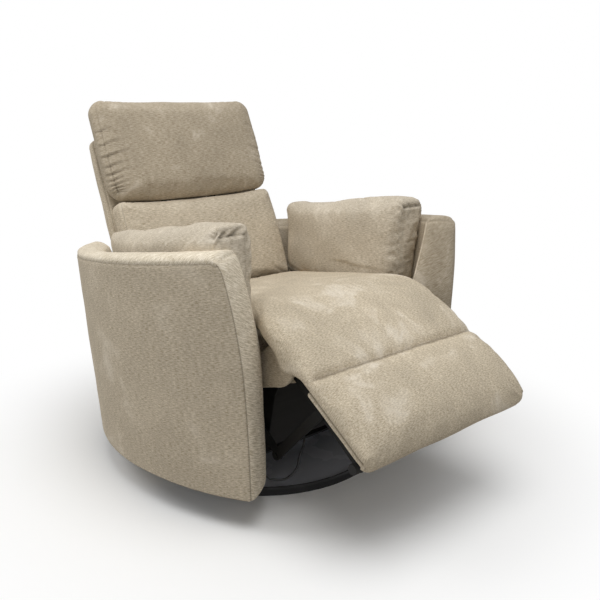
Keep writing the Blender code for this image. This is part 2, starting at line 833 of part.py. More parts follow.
def make_lead():
    """The lead leaves a gland on the front rail, hangs in a bend and enters a gland under the right arm."""
    face = RAIL_BOARD_Y - FIT
    low = RAIL_BOARD_BOTTOM + GLAND_RISE
    rail_y = face - GLAND_HALF
    corner = (RAIL_GLAND_X - GLAND_HALF, face - 2.0 * GLAND_HALF, low)
    far = (RAIL_GLAND_X + GLAND_HALF, face, low + GLAND_LENGTH)
    node("lead_gland_rail", box(corner, far), BLACK_PLASTIC)
    top = SKIRT_Z - 2.0 * FIT - ARM_BOARD_THICK
    arm_z = top - GLAND_HALF
    corner = (ARM_GLAND_X - GLAND_LENGTH, ARM_GLAND_Y - GLAND_HALF, top - 2.0 * GLAND_HALF)
    node("lead_gland_arm", box(corner, (ARM_GLAND_X, ARM_GLAND_Y + GLAND_HALF, top)), BLACK_PLASTIC)
    start = low - FIT
    end = ARM_GLAND_X + FIT
    knots = [(RAIL_GLAND_X, rail_y, start - LEAD_DROP * share) for share in LEAD_END_SHARES]
    for across_share, forward_share, down_share in LEAD_BEND_SHARES:
        x = lerp(RAIL_GLAND_X, end, across_share)
        knots.append((x, lerp(rail_y, LEAD_FORWARD_Y, forward_share), lerp(start, LEAD_LOW_Z, down_share)))
    knots += [(end + LEAD_ENTRY * share, ARM_GLAND_Y, arm_z) for share in reversed(LEAD_END_SHARES)]
    route = smooth_route(knots, LEAD_STEPS)
    data = bpy.data.curves.new("lead", "CURVE")
    data.dimensions = "3D"
    data.bevel_depth = LEAD_RADIUS
    data.bevel_resolution = 2
    data.use_fill_caps = True
    spline = data.splines.new("POLY")
    spline.points.add(len(route) - 1)
    for spot, place in zip(spline.points, route):
        spot.co = (*place, 1.0)
    item = bpy.data.objects.new("lead", data)
    bpy.context.scene.collection.objects.link(item)
    data.materials.append(painted("lead", BLACK_PLASTIC))


# Footrest


def foot_point(along, out):
    """A point of the footrest, along it from its hinge and out from the hinge line, in Y and Z."""
    slope = math.radians(FOOT_SLOPE)
    return (
        FOOT_PIVOT_Y - along * math.cos(slope) - out * math.sin(slope),
        FOOT_PIVOT_Z - along * math.sin(slope) + out * math.cos(slope),
    )


def foot_outline(points):
    return [(*foot_point(point[0], point[1]), *point[2:]) for point in points]


def drive_pivots():
    upper = foot_point(DRIVE_S, DRIVE_N)
    lower = (upper[0] - FOOT_PIVOT_Y + CRANK_Y, upper[1] - FOOT_PIVOT_Z + CRANK_Z)
    return upper, lower


def make_footrest():
    hinge = (0.0, FOOT_PIVOT_Y, FOOT_PIVOT_Z)
    under = PAD_LOW_N - FIT
    board_low = under - BOARD_THICK
    end = PAD_LENGTH - PAD_WRAP - FIT
    outline = foot_outline(
        [
            (BOARD_START, board_low),
            (end, board_low),
            (end, under),
            (BOARD_START, under),
        ]
    )
    rings = []
    for x in (-BOARD_HALF_WIDTH, 0.0, BOARD_HALF_WIDTH):
        rings.append([(x, *point[:2]) for point in outline])
    node("footrest_board", loft(rings), BLACK_BOARD, hinge)

    seam = PAD_SEAM_S
    half_seam = PAD_SEAM_WIDTH / 2.0
    toe = PAD_TOE_RADIUS
    rim = ROLL_RADIUS + SOFT_FIT
    foot = math.sqrt(rim * rim - PAD_LOW_N * PAD_LOW_N)
    start = math.degrees(math.atan2(PAD_LOW_N, foot))
    lip_angle = LIP_ANGLE
    points = [(s, n, 0.0, 0.0) for s, n in arc((0.0, 0.0), rim, start, lip_angle, CORNER_STEPS)]
    points.append((points[-1][0], PAD_TOP_N, 0.0, LIP_SHARE))
    for share in PAD_SHARES:
        pinch = lerp(LIP_SHARE, 1.0, smooth(share * PINCH_GAIN_SHARE))
        points.append((lerp(0.0, seam - half_seam, share), PAD_TOP_N, math.sin(math.pi * share), pinch))
    points.append((seam - half_seam, PAD_TOP_N - FIT, SEAM_CROWN_SHARE, 1.0))
    points.append((seam, PAD_TOP_N - PAD_SEAM_DEPTH, 0.0, 1.0))
    points.append((seam + half_seam, PAD_TOP_N - FIT, SEAM_CROWN_SHARE, 1.0))
    for share in PAD_SHARES:
        place = lerp(seam + half_seam, PAD_LENGTH - toe, share)
        points.append((place, PAD_TOP_N, math.sin(math.pi * share), 1.0))
    turn = arc((PAD_LENGTH - toe, PAD_TOP_N - toe), toe, 90.0, 0.0, CORNER_STEPS)
    for k, (s, n) in enumerate(turn):
        points.append((s, n, SEAM_CROWN_SHARE, lerp(1.0, TOE_PINCH_SHARE, k / (len(turn) - 1))))
    board_end = PAD_LENGTH - PAD_WRAP
    points.append((PAD_LENGTH, PAD_LOW_N, 0.0, LIP_SHARE))
    points.append((PAD_LENGTH, PAD_WRAP_N, 0.0, LIP_SHARE))
    points.append((board_end, PAD_WRAP_N, 0.0, LIP_SHARE))
    points.append((board_end, PAD_LOW_N, 0.0, LIP_SHARE))
    for share in UNDER_SHARES:
        points.append((lerp(board_end, foot, share), PAD_LOW_N, 0.0, LIP_SHARE))
    outline = [(*foot_point(s, n), crown, pinch) for s, n, crown, pinch in points]
    pad = cushion(outline, PAD_HALF_WIDTH, PAD_EDGE, PAD_CROWN)
    node("leg_cushion", pad, FABRIC, hinge)

    upper, lower = drive_pivots()
    touch = board_low - FIT
    shape = foot_outline(
        [
            (EAR / 2.0, EAR, EAR),
            (-EAR, EAR, EAR),
            (-EAR, -EAR, EAR),
            (DRIVE_S - EAR, DRIVE_N - LINK_END, EAR),
            (DRIVE_S + EAR, DRIVE_N - LINK_END, EAR),
            (STOP_S + STOP_RADIUS, ARM_TAIL_N - STOP_RADIUS, EAR / 2.0),
            (STOP_S + STOP_RADIUS, ARM_TAIL_N + STOP_RADIUS, EAR / 2.0),
            (ARM_TAIL_S, touch - EAR, EAR / 2.0),
            (board_end - EAR, touch, FIT),
            (BOARD_START, touch, FIT),
            (ARM_BACK_S, touch - EAR, EAR),
        ]
    )
    for side, sign in SIDES:
        arm = prism(rounded(shape, EAR), [], across(sign, layer(ARM_LAYER)), PLATE)
        middle = layer(ARM_LAYER) + PLATE / 2.0
        hub = pin(sign, (FOOT_PIVOT_Y, FOOT_PIVOT_Z), middle, layer(PLATE_LAYER), -1.0)
        drive = pin(sign, upper, middle, layer(RAIL_LAYER) + PLATE, 1.0)
        node("footrest_arm_" + side, joined(arm, hub, drive), BLACK_STEEL, hinge)
        bar = capsule((CRANK_Y, CRANK_Z), lower, LINK_END)
        crank = prism(bar, [], across(sign, layer(ARM_LAYER)), PLATE)
        wrist = pin(sign, lower, middle, layer(RAIL_LAYER) + PLATE, 1.0)
        node("ottoman_crank_" + side, joined(crank, wrist), BLACK_STEEL, (0.0, CRANK_Y, CRANK_Z))
        holes = [circle(centre, PIN_RADIUS + PIVOT_FIT) for centre in (upper, lower)]
        rail = prism(capsule(lower, upper, LINK_END), holes, across(sign, layer(RAIL_LAYER)), PLATE)
        node("ottoman_rail_" + side, rail, BLACK_STEEL, (0.0, *lower))
        stop = foot_point(STOP_S, ARM_TAIL_N)
        inner = layer(ARM_LAYER) + PLATE + FIT
        bumper = rod(sign, stop, STOP_RADIUS, inner, inner + STOP_WIDTH)
        node("footrest_stop_" + side, bumper, RUBBER, hinge)


# Seat


def make_seat():
    deck_top = SADDLE_Z + FIT + DECK_THICK
    half = layer(PANEL_LAYER) - FIT
    low = (-half, DECK_FRONT_Y, SADDLE_Z + FIT)
    node("seat_deck", box(low, (half, DECK_REAR_Y, deck_top)), PLYWOOD)

    roll_half = layer(PLATE_LAYER) - HEAD_THICK - 3.0 * FIT
    round_face = circle((FOOT_PIVOT_Y, FOOT_PIVOT_Z), ROLL_RADIUS, TURN_STEPS // 2)
    roll = prism(round_face, [], across(1.0, -roll_half), 2.0 * roll_half)
    node("front_roll", roll, FABRIC)

    rim = ROLL_RADIUS + SOFT_FIT
    bottom = deck_top + FIT
    knee_top = FOOT_PIVOT_Z + PAD_TOP_N
    start = math.degrees(math.asin((bottom - FOOT_PIVOT_Z) / rim))
    hinge = (FOOT_PIVOT_Y, FOOT_PIVOT_Z)
    points = [(y, z, 0.0, 0.0) for y, z in arc(hinge, rim, start, 90.0, 2 * CORNER_STEPS)]
    points.append((FOOT_PIVOT_Y, knee_top, 0.0, LIP_SHARE))
    points.append((SEAT_KNEE_Y, knee_top + SEAT_RISE, 2.0 * SEAM_CROWN_SHARE, 2.0 * LIP_SHARE))
    radius = SEAT_REAR_RADIUS
    rear = DECK_REAR_Y
    for share in SEAT_SHARES:
        place = (lerp(SEAT_KNEE_Y, rear - radius, share), lerp(knee_top + SEAT_RISE, SEAT_REAR_Z, share))
        points.append((*place, 1.0, 1.0))
    for y, z in arc((rear - radius, SEAT_REAR_Z - radius), radius, SEAT_REAR_ANGLE, 0.0, CORNER_STEPS):
        points.append((y, z, 0.0, 1.0))
    points.append((rear, bottom, 0.0, SEAM_CROWN_SHARE))
    for share in UNDER_SHARES:
        points.append((lerp(rear, points[0][0], share), bottom, 0.0, SEAM_CROWN_SHARE))
    node("seat_cushion", cushion(points, SEAT_HALF_WIDTH, SEAT_EDGE, SEAT_CROWN), FABRIC)

    thick = PANEL_THICK
    start = layer(PANEL_LAYER)
    nose = arc((FOOT_PIVOT_Y, FOOT_PIVOT_Z), ROLL_RADIUS, PANEL_NOSE_START, PANEL_NOSE_END, ROUND_STEPS)
    outline = [(PANEL_REAR_Y, PANEL_BOTTOM), (PANEL_REAR_Y, deck_top), (DECK_FRONT_Y, deck_top)] + nose
    outline.append((FOOT_PIVOT_Y + ROLL_RADIUS, PANEL_BOTTOM))
    for side, sign in SIDES:
        panel = prism(outline, [], across(sign, start), thick)
        node("seat_side_panel_" + side, panel, FABRIC)
        node("side_deck_" + side, side_deck(sign), PLYWOOD)


# Barrel arms


def barrel_axes(height):
    share = (height - SKIRT_Z) / (RIM_Z - SKIRT_Z)
    return lerp(BARREL_X_LOW, BARREL_X_TOP, share), lerp(BARREL_Y_LOW, BARREL_Y_TOP, share)


def front_angle(height):
    drop = min(max((RIM_Z - height) / (RIM_Z - SKIRT_Z), 0.0), 1.0)
    return -lerp(FRONT_TOP_ANGLE, FRONT_LOW_ANGLE, 1.0 - (1.0 - drop) ** 3)


def wall(height, share, thick_base):
    """Thickness of the arm at a height and a share of its run from front to rear."""
    drop = min(max((RIM_Z - height) / (RIM_Z - SKIRT_Z), 0.0), 1.0)
    face = lerp(WALL_TOP, WALL_FRONT, min(drop / FACE_REACH_SHARE, 1.0))
    run = WALL_LOW if thick_base else WALL_REAR
    return lerp(face, run, smooth(share / WALL_BLEND_SHARE))


def wall_point(height, share, depth):
    """A point on the wall's outer face, or at a depth inside it, in X and Y."""
    wide, long = barrel_axes(height)
    along = min(max((share - BULGE_START_SHARE) / (1.0 - BULGE_START_SHARE), 0.0), 1.0)
    bulge = WALL_BULGE * math.sin(math.pi * along)
    wide += bulge - depth
    long += bulge - depth
    front = front_angle(height) - (INNER_LEAD_ANGLE if depth > 0.0 else 0.0)
    rear = math.degrees(math.acos(ARM_REAR_X / wide))
    angle = math.radians(lerp(front, rear, share))
    return wide * math.cos(angle), BARREL_Y + long * math.sin(angle)


def rim_height(share):
    y = wall_point(RIM_Z, share, 0.0)[1]
    return RIM_Z - RIM_FALL_SHARE * (y + RIM_REACH)


def arm_ring(sign, share):
    top = rim_height(share)
    ring_points = []
    for step in OUTER_SHARES:
        z = lerp(SKIRT_Z, top, step)
        ring_points.append((*wall_point(z, share, 0.0), z))
    for depth_share, rise in CROWN_SHARES:
        depth = wall(top, share, False) * depth_share
        ring_points.append((*wall_point(top, share, depth), top + RIM_CROWN * rise))
    for step in INNER_SHARES:
        z = lerp(SIDE_DECK_TOP, top - RIM_EDGE / 4.0, step)
        ring_points.append((*wall_point(z, share, wall(z, share, False)), z))
    for step in LOWER_SHARES:
        z = lerp(SKIRT_Z, SIDE_DECK_TOP - LEDGE_DROP, step)
        ring_points.append((*wall_point(z, share, wall(z, share, True)), z))
    return [(sign * x, y, z) for x, y, z in ring_points]


def make_arms():
    for side, sign in SIDES:
        shares = [k / ARM_STATIONS for k in range(ARM_STATIONS + 1)]
        rings = [arm_ring(sign, share) for share in shares]
        face = rings[0]
        crowned = []
        for x, y, z in face:
            middle = lerp(SKIRT_Z, RIM_Z, 0.5)
            pull = FACE_INSET / (RIM_Z - SKIRT_Z)
            near_x, near_y = wall_point(z, 0.0, wall(z, 0.0, False) / 2.0)
            crowned.append(
                (
                    lerp(x, sign * near_x, 2.0 * FACE_INSET / WALL_TOP),
                    lerp(y, near_y, 2.0 * FACE_INSET / WALL_TOP) - FACE_CROWN,
                    lerp(z, middle, 2.0 * pull),
                )
            )
        arm = loft([crowned] + rings)
        node("arm_" + side, arm, FABRIC)

        inset = ARM_BOARD_INSET
        low_wall = [wall(SKIRT_Z, share, True) for share in shares]
        outer = [wall_point(SKIRT_Z, share, inset) for share in shares]
        inner = [wall_point(SKIRT_Z, share, depth - inset) for share, depth in zip(shares, low_wall)]
        outline = [(sign * x, y) for x, y in outer + list(reversed(inner))]
        if sign < 0.0:
            outline.reverse()
        base = SKIRT_Z - FIT - ARM_BOARD_THICK
        board = prism(outline, [], upwards(base), ARM_BOARD_THICK)
        reach = wall_point(SKIRT_Z, 0.5, WALL_LOW / 2.0)[0]
        near, far = sign * (layer(PLATE_LAYER) + PLATE + FIT), sign * reach
        low = (near, GLIDE_HALF_BASE - TONGUE_HALF, base)
        high = (far, GLIDE_HALF_BASE + TONGUE_HALF, base + ARM_BOARD_THICK)
        node("arm_base_" + side, joined(board, box(low, high)), BLACK_BOARD)

    ends = ARM_REAR_X - FIT
    steps = ROUND_STEPS // 2
    rear = []
    front = []
    for k in range(steps + 1):
        x = lerp(ends, -ends, k / steps)
        bow = REAR_PANEL_BOW * (1.0 - (x / ends) ** 2)
        rear.append((x, REAR_PANEL_Y + bow))
        front.append((x, REAR_PANEL_Y + bow - REAR_PANEL_THICK))
    panel = prism(rear + list(reversed(front)), [], upwards(SKIRT_Z), REAR_PANEL_TOP - SKIRT_Z)
    node("rear_panel", panel, FABRIC)


def inner_face(y, height, thick_base=False):
    """Distance of the wall's inner face from the centre plane at a place along Y."""
    low, high = 0.0, 1.0
    for _ in range(ROUND_STEPS):
        share = lerp(low, high, 0.5)
        x, here = wall_point(height, share, wall(height, share, thick_base))
        if here < y:
            low = share
        else:
            high = share
    return x


def side_deck(sign):
    """Board under a pillow, from the seat's side to the arm's inner face."""
    inner = SEAT_HALF_WIDTH + FIT
    bottom = SIDE_DECK_TOP - SIDE_DECK_THICK
    outline = []
    for k in range(ARM_STATIONS + 1):
        share = k / ARM_STATIONS
        x, y = wall_point(bottom, share, wall(bottom, share, True))
        if SIDE_DECK_FRONT_Y < y < SIDE_DECK_REAR_Y:
            outline.append((sign * (x - SIDE_DECK_GAP), y))
    outline += [(sign * inner, outline[-1][1]), (sign * inner, outline[0][1])]
    return prism(outline, [], upwards(bottom), SIDE_DECK_THICK)


def make_pillows():
    bottom = SIDE_DECK_TOP + FIT
    for side, sign in SIDES:
        rings = []
        front = PILLOW_FRONT_Y + sign * PILLOW_SLIP
        for k in range(PILLOW_STATIONS + 1):
            share = k / PILLOW_STATIONS
            along = (1.0 - math.cos(math.pi * share)) / 2.0
            y = lerp(front, PILLOW_REAR_Y, along)
            end = abs(2.0 * along - 1.0)
            pinch = 1.0 - math.sqrt(max(1.0 - end**4, 0.0))
            top = lerp(PILLOW_TOP_FRONT, PILLOW_TOP_REAR, along) - PILLOW_PINCH * 0.5 * pinch
            inner = lerp(PILLOW_INNER, PILLOW_REAR_INNER, smooth((along - 0.5) * 2.0))
            lean = PILLOW_LEAN * (1.0 - along)
            outer_low = min(inner + PILLOW_THICK, inner_face(y, bottom) - PILLOW_CLEAR)
            outer_top = min(inner + PILLOW_THICK + lean, inner_face(y, RIM_Z) - PILLOW_CLEAR)
            pull = 0.3 * (outer_low - inner) * pinch
            lift = PILLOW_RADIUS * 0.4 * pinch
            loop = []
            for step in range(PILLOW_ROUND):
                angle = 2.0 * math.pi * step / PILLOW_ROUND
                u = math.copysign(abs(math.cos(angle)) ** PILLOW_SQUARE_SHARE, math.cos(angle)) / 2.0 + 0.5
                v = math.copysign(abs(math.sin(angle)) ** PILLOW_SQUARE_SHARE, math.sin(angle)) / 2.0 + 0.5
                near = lerp(inner + pull, inner + pull + lean / 2.0, v)
                far = lerp(outer_low - pull, outer_top - pull, v)
                loop.append((sign * lerp(near, far, u), y, lerp(bottom + lift, top, v)))
            rings.append(loop)
        node("pillow_" + side, loft(rings), FABRIC)


# Back and head


def back_point(along, depth):
    """A point of the back, up its front plane and back from it, in Y and Z."""
    lean = math.radians(BACK_LEAN)
    return (
        BACK_FOOT_Y + along * math.sin(lean) + depth * math.cos(lean),
        BACK_FOOT_Z + along * math.cos(lean) - depth * math.sin(lean),
    )


def head_pad_radius():
    return math.hypot(HEAD_PIVOT_S - HEAD_FRONT_LOW, HEAD_PIVOT_T - HEAD_SET_BACK)


def foot_of_back(depth):
    """How far up the front plane the flat bottom of the back lies at a depth behind it."""
    lean = math.radians(BACK_LEAN)
    return (BACK_BOTTOM_Z - BACK_FOOT_Z + depth * math.sin(lean)) / math.cos(lean)


def make_back():
    hinge = (0.0, BACK_PIVOT_Y, BACK_PIVOT_Z)
    points = [(foot_of_back(0.0), 0.0, 0.0, 1.0)]
    shoulder = LUMBAR_TOP - LUMBAR_SHOULDER
    for share in LUMBAR_SHARES:
        swell = math.sin(math.pi * share)
        points.append((shoulder * share, -LUMBAR_BULGE * swell, swell, 1.0))
    points.append((shoulder, 0.0, 0.0, 1.0))
    radius = head_pad_radius() + HEAD_ROLL_GAP
    first = math.degrees(math.acos((HEAD_PIVOT_S - LUMBAR_TOP) / radius))
    rear = LUMBAR_THICK - FIT
    last = math.degrees(math.asin((HEAD_PIVOT_T - rear) / radius))
    for k in range(CORNER_STEPS + 1):
        angle = math.radians(lerp(first, last, k / CORNER_STEPS))
        place = (HEAD_PIVOT_S - radius * math.cos(angle), HEAD_PIVOT_T - radius * math.sin(angle))
        points.append((*place, 0.0, BACK_PINCH_SHARE))
    points.append((foot_of_back(rear), rear, 0.0, BACK_PINCH_SHARE))
    points.append((foot_of_back(rear / 2.0), rear / 2.0, 0.0, BACK_PINCH_SHARE))
    outline = [(*back_point(s, t), crown, pinch) for s, t, crown, pinch in points]
    pad = cushion(outline, LUMBAR_HALF_WIDTH, LUMBAR_EDGE, 0.5 * LUMBAR_BULGE)
    node("lumbar_cushion", pad, FABRIC, hinge)

    front = LUMBAR_THICK
    corners = [
        (foot_of_back(front), front, FIT),
        (foot_of_back(SHELL_LOW_DEPTH), SHELL_LOW_DEPTH, SHELL_RADIUS),
        (SHELL_TOP, SHELL_TOP_DEPTH, SHELL_RADIUS),
        (SHELL_TOP, front, FIT),
    ]
    world = [(*back_point(corner[0], corner[1]), corner[2]) for corner in corners]
    outline = [(y, z, 0.0, 1.0) for y, z in rounded(world, SHELL_RADIUS)]
    node("back_shell", cushion(outline, BACK_HALF_WIDTH, SHELL_EDGE, 0.0, 5), FABRIC, hinge)

    top = BACK_BOTTOM_Z - FIT
    reach = BACK_PIVOT_Y + BRACKET_REACH
    shape = [
        (BACK_PIVOT_Y - EAR, BACK_PIVOT_Z - EAR, EAR),
        (reach, top - BRACKET_HEIGHT, EAR / 2.0),
        (reach, top, FIT),
        (BACK_PIVOT_Y + EAR, top, FIT),
        (BACK_PIVOT_Y - EAR, BACK_PIVOT_Z + EAR, EAR),
    ]
    for side, sign in SIDES:
        arm = prism(rounded(shape, EAR / 2.0), [], across(sign, layer(ARM_LAYER)), PLATE)
        middle = layer(ARM_LAYER) + PLATE / 2.0
        hub = pin(sign, (BACK_PIVOT_Y, BACK_PIVOT_Z), middle, layer(PLATE_LAYER), -1.0)
        node("back_bracket_" + side, joined(arm, hub), BLACK_STEEL, hinge)


def make_head():
    pivot_yz = back_point(HEAD_PIVOT_S, HEAD_PIVOT_T)
    hinge = (0.0, *pivot_yz)
    radius = head_pad_radius()
    first = math.degrees(math.acos((HEAD_PIVOT_S - HEAD_FRONT_LOW) / radius))
    last = HEAD_TILT + HEAD_TILT_SPARE
    points = []
    for k in range(CORNER_STEPS + 1):
        angle = math.radians(lerp(last, first, k / CORNER_STEPS))
        place = (HEAD_PIVOT_S - radius * math.cos(angle), HEAD_PIVOT_T - radius * math.sin(angle))
        points.append((*place, 0.0, HEAD_PINCH_SHARE * k / CORNER_STEPS))
    low = HEAD_FRONT_LOW + HEAD_TOP_RADIUS
    high = HEAD_TOP - HEAD_TOP_RADIUS
    for share in HEAD_SHARES:
        points.append((lerp(low, high, share), 0.0, lerp(LIP_SHARE, 1.0, math.sin(math.pi * share)), 1.0))
    turn = HEAD_TOP_RADIUS
    for t, s in arc((turn, high), turn, HEAD_BOW_ANGLE, 90.0, CORNER_STEPS - 1):
        points.append((s, t, SEAM_CROWN_SHARE, HEAD_CORNER_SHARE))
    for t, s in arc((HEAD_THICK_PAD - turn, high), turn, 90.0, 0.0, CORNER_STEPS):
        points.append((s, t, 0.0, HEAD_CORNER_SHARE))
    points.append((lerp(high, HEAD_PIVOT_S, 0.5), HEAD_THICK_PAD, 0.0, BACK_PINCH_SHARE))
    notch = HEAD_KNUCKLE + SOFT_FIT
    opening = 180.0 - math.degrees(math.asin((HEAD_PIVOT_T - HEAD_THICK_PAD) / notch))
    for k in range(CORNER_STEPS + 1):
        angle = math.radians(lerp(opening, last, k / CORNER_STEPS))
        place = (HEAD_PIVOT_S - notch * math.cos(angle), HEAD_PIVOT_T - notch * math.sin(angle))
        points.append((*place, 0.0, 0.0))
    outline = [(*back_point(s, t), crown, pinch) for s, t, crown, pinch in points]
    node("head_cushion", cushion(outline, HEAD_HALF_WIDTH, HEAD_EDGE, HEAD_CROWN), FABRIC, hinge)

    front = HEAD_THICK_PAD + FIT
    base = HEAD_PIVOT_S + HEAD_KNUCKLE / 2.0
    corners = [
        (base, front),
        (base, front + HEAD_BOARD_THICK),
        (HEAD_BOARD_TOP, front + HEAD_BOARD_THICK),
        (HEAD_BOARD_TOP, front),
    ]
    outline = [back_point(s, t) for s, t in corners]
    board = prism(outline, [], across(1.0, -HEAD_BOARD_HALF), 2.0 * HEAD_BOARD_HALF)
    start = KNUCKLE_X + KNUCKLE_WIDTH + FIT
    knuckles = []
    for side, sign in SIDES:
        bore = circle(pivot_yz, HEAD_PIN + PIVOT_FIT)
        barrel = circle(pivot_yz, HEAD_KNUCKLE)
        knuckles.append(prism(barrel, [bore], across(sign, start), KNUCKLE_WIDTH))
    bores = []
    near, far = start - OVERRUN, start + KNUCKLE_WIDTH + OVERRUN
    for side, sign in SIDES:
        bores.append(rod(sign, pivot_yz, HEAD_PIN + PIVOT_FIT, near, far))
    gaps = []
    for side, sign in SIDES:
        reach = HEAD_KNUCKLE + PIVOT_FIT
        gaps.append(rod(sign, pivot_yz, reach, KNUCKLE_X - OVERRUN, start - FIT / 2.0))
    head_board = cut(joined(board, *knuckles), *bores, *gaps)
    node("head_board", head_board, BLACK_BOARD, hinge)

    rear = LUMBAR_THICK - FIT
    leaf_front = HEAD_PIVOT_T
    for side, sign in SIDES:
        leaf = [
            back_point(HEAD_PIVOT_S - HINGE_LEAF, leaf_front),
            back_point(HEAD_PIVOT_S - HINGE_LEAF, rear),
            back_point(HEAD_PIVOT_S, rear),
            back_point(HEAD_PIVOT_S, leaf_front),
        ]
        plate = prism(leaf, [], across(sign, KNUCKLE_X), KNUCKLE_WIDTH)
        barrel = rod(sign, pivot_yz, HEAD_KNUCKLE, KNUCKLE_X, KNUCKLE_X + KNUCKLE_WIDTH)
        spindle = rod(sign, pivot_yz, HEAD_PIN, KNUCKLE_X + KNUCKLE_WIDTH / 2.0, start + KNUCKLE_WIDTH)
        node("head_hinge_" + side, joined(plate, barrel, spindle), BLACK_STEEL, (0.0, *back_point(0.0, 0.0)))


clear_scene()
make_base()
make_hangers()
make_glide_links()
make_side_plates()
make_cross_members()
make_drive()
make_lead()
make_footrest()
make_seat()
make_arms()
make_pillows()
make_back()
make_head()
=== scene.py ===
import math

import bmesh
import bpy
import numpy as np
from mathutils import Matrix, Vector, noise


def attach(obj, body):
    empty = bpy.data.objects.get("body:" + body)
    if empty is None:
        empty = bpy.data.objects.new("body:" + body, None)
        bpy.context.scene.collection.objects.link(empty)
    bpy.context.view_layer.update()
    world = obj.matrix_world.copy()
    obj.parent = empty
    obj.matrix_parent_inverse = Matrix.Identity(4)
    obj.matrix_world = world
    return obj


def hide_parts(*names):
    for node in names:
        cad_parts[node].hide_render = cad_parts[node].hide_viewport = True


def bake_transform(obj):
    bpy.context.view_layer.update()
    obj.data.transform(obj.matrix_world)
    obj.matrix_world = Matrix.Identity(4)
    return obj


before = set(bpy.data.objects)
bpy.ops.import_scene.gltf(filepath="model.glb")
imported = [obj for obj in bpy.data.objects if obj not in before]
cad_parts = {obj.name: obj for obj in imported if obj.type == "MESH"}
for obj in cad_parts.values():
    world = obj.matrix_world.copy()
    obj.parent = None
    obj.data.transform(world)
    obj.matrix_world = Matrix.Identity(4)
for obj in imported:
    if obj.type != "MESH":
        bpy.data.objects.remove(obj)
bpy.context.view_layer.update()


# The camera stands at the front right corner of the chair, a little above its back.
# Its place, turn and lens were worked out from the chair's own corners in the photograph.

bpy.ops.object.camera_add(
    location=(-1.258, -1.605, 0.992), rotation=(math.radians(90.0) - 0.267, 0.0, -0.714)
)
camera = bpy.context.object
camera.name = "camera"
camera.data.lens = 43.63
camera.data.sensor_width = 36.0
bpy.context.scene.camera = camera
bpy.context.scene.view_settings.view_transform = "Standard"


# Floor and studio light: a pale sheet that runs out to white under a wide soft box overhead
# and a second one behind, with weak lamps from the front and one side. Tops are lightest,
# upright faces half as light.


def srgb(code):
    """Linear colour of an sRGB hex code."""
    channels = [int(code[k : k + 2], 16) / 255.0 for k in (1, 3, 5)]
    return (*[c / 12.92 if c <= 0.04045 else ((c + 0.055) / 1.055) ** 2.4 for c in channels], 1.0)


def add(tree, kind, settings, links=None):
    """One node with its settings, and the outputs that feed its sockets."""
    item = tree.nodes.new(kind)
    for key, value in settings.items():
        if isinstance(key, str) and hasattr(item, key):
            setattr(item, key, value)
        else:
            item.inputs[key].default_value = value
    for key, source in (links or {}).items():
        tree.links.new(source, item.inputs[key])
    return item


def material(name):
    """A new material, its node tree, its shader and the point on the piece, in metres."""
    paint = bpy.data.materials.new(name)
    paint.use_nodes = True
    tree = paint.node_tree
    point = add(tree, "ShaderNodeTexCoord", {}).outputs["Object"]
    return paint, tree, tree.nodes["Principled BSDF"], point


def lamp(name, place, aim, size, watts):
    """A round soft box at a place, turned towards its aim."""
    bpy.ops.object.light_add(type="AREA", location=place)
    light = bpy.context.object
    light.name = name
    light.rotation_euler = (Vector(aim) - Vector(place)).to_track_quat("-Z", "Y").to_euler()
    light.data.shape = "DISK"
    light.data.size = size
    light.data.energy = watts


lamp("overhead_lamp", (-0.45, -0.95, 3.4), (0.0, -0.1, 0.5), 2.4, 57.0)
lamp("front_lamp", (0.4, -3.6, 1.7), (0.0, 0.0, 0.5), 2.0, 2.5)
lamp("side_lamp", (-3.4, -0.8, 1.5), (0.0, 0.0, 0.4), 2.2, 11.0)
lamp("rear_lamp", (-2.0, 1.7, 3.0), (0.0, 0.0, 0.5), 1.8, 33.0)

world = bpy.data.worlds.new("studio")
world.use_nodes = True
bpy.context.scene.world = world
sky = world.node_tree
ray = add(sky, "ShaderNodeLightPath", {})
glossy_or_glass = {0: ray.outputs["Is Glossy Ray"], 1: ray.outputs["Is Transmission Ray"]}
mirrored = add(sky, "ShaderNodeMath", {"operation": "MAXIMUM"}, glossy_or_glass)
seen_links = {0: ray.outputs["Is Camera Ray"], 1: mirrored.outputs[0]}
seen = add(sky, "ShaderNodeMath", {"operation": "MAXIMUM"}, seen_links)
level = add(sky, "ShaderNodeMapRange", {"To Min": 0.34, "To Max": 1.0}, {"Value": seen.outputs[0]})
sky.links.new(level.outputs[0], sky.nodes["Background"].inputs["Strength"])
sky.nodes["Background"].inputs["Color"].default_value = srgb("#ffffff")

bpy.ops.mesh.primitive_plane_add(size=16.0, location=(0.0, 0.0, 0.0))
floor = bpy.context.object
floor.name = "floor"
paint, tree, lit, point = material("white_studio_floor")
ray = add(tree, "ShaderNodeLightPath", {})
reach = add(tree, "ShaderNodeVectorMath", {"operation": "LENGTH"}, {0: point})
fade_settings = {"From Min": 0.46, "From Max": 1.15, "interpolation_type": "SMOOTHSTEP"}
fade = add(tree, "ShaderNodeMapRange", fade_settings, {"Value": reach.outputs["Value"]})
glow = add(tree, "ShaderNodeEmission", {"Color": srgb("#ffffff"), "Strength": 1.0})
tone = add(
    tree,
    "ShaderNodeMix",
    {"data_type": "RGBA", 6: srgb("#b4b1ac"), 7: srgb("#fdfdfc")},
    {0: ray.outputs["Is Camera Ray"]},
)
tree.links.new(tone.outputs[2], lit.inputs["Base Color"])
lit.inputs["Roughness"].default_value = 0.8
lit.inputs["Specular IOR Level"].default_value = 0.2
share_links = {0: fade.outputs[0], 1: ray.outputs["Is Camera Ray"]}
share = add(tree, "ShaderNodeMath", {"operation": "MULTIPLY"}, share_links)
mix_links = {0: share.outputs[0], 1: lit.outputs[0], 2: glow.outputs[0]}
both = add(tree, "ShaderNodeMixShader", {}, mix_links)
tree.links.new(both.outputs[0], tree.nodes["Material Output"].inputs["Surface"])
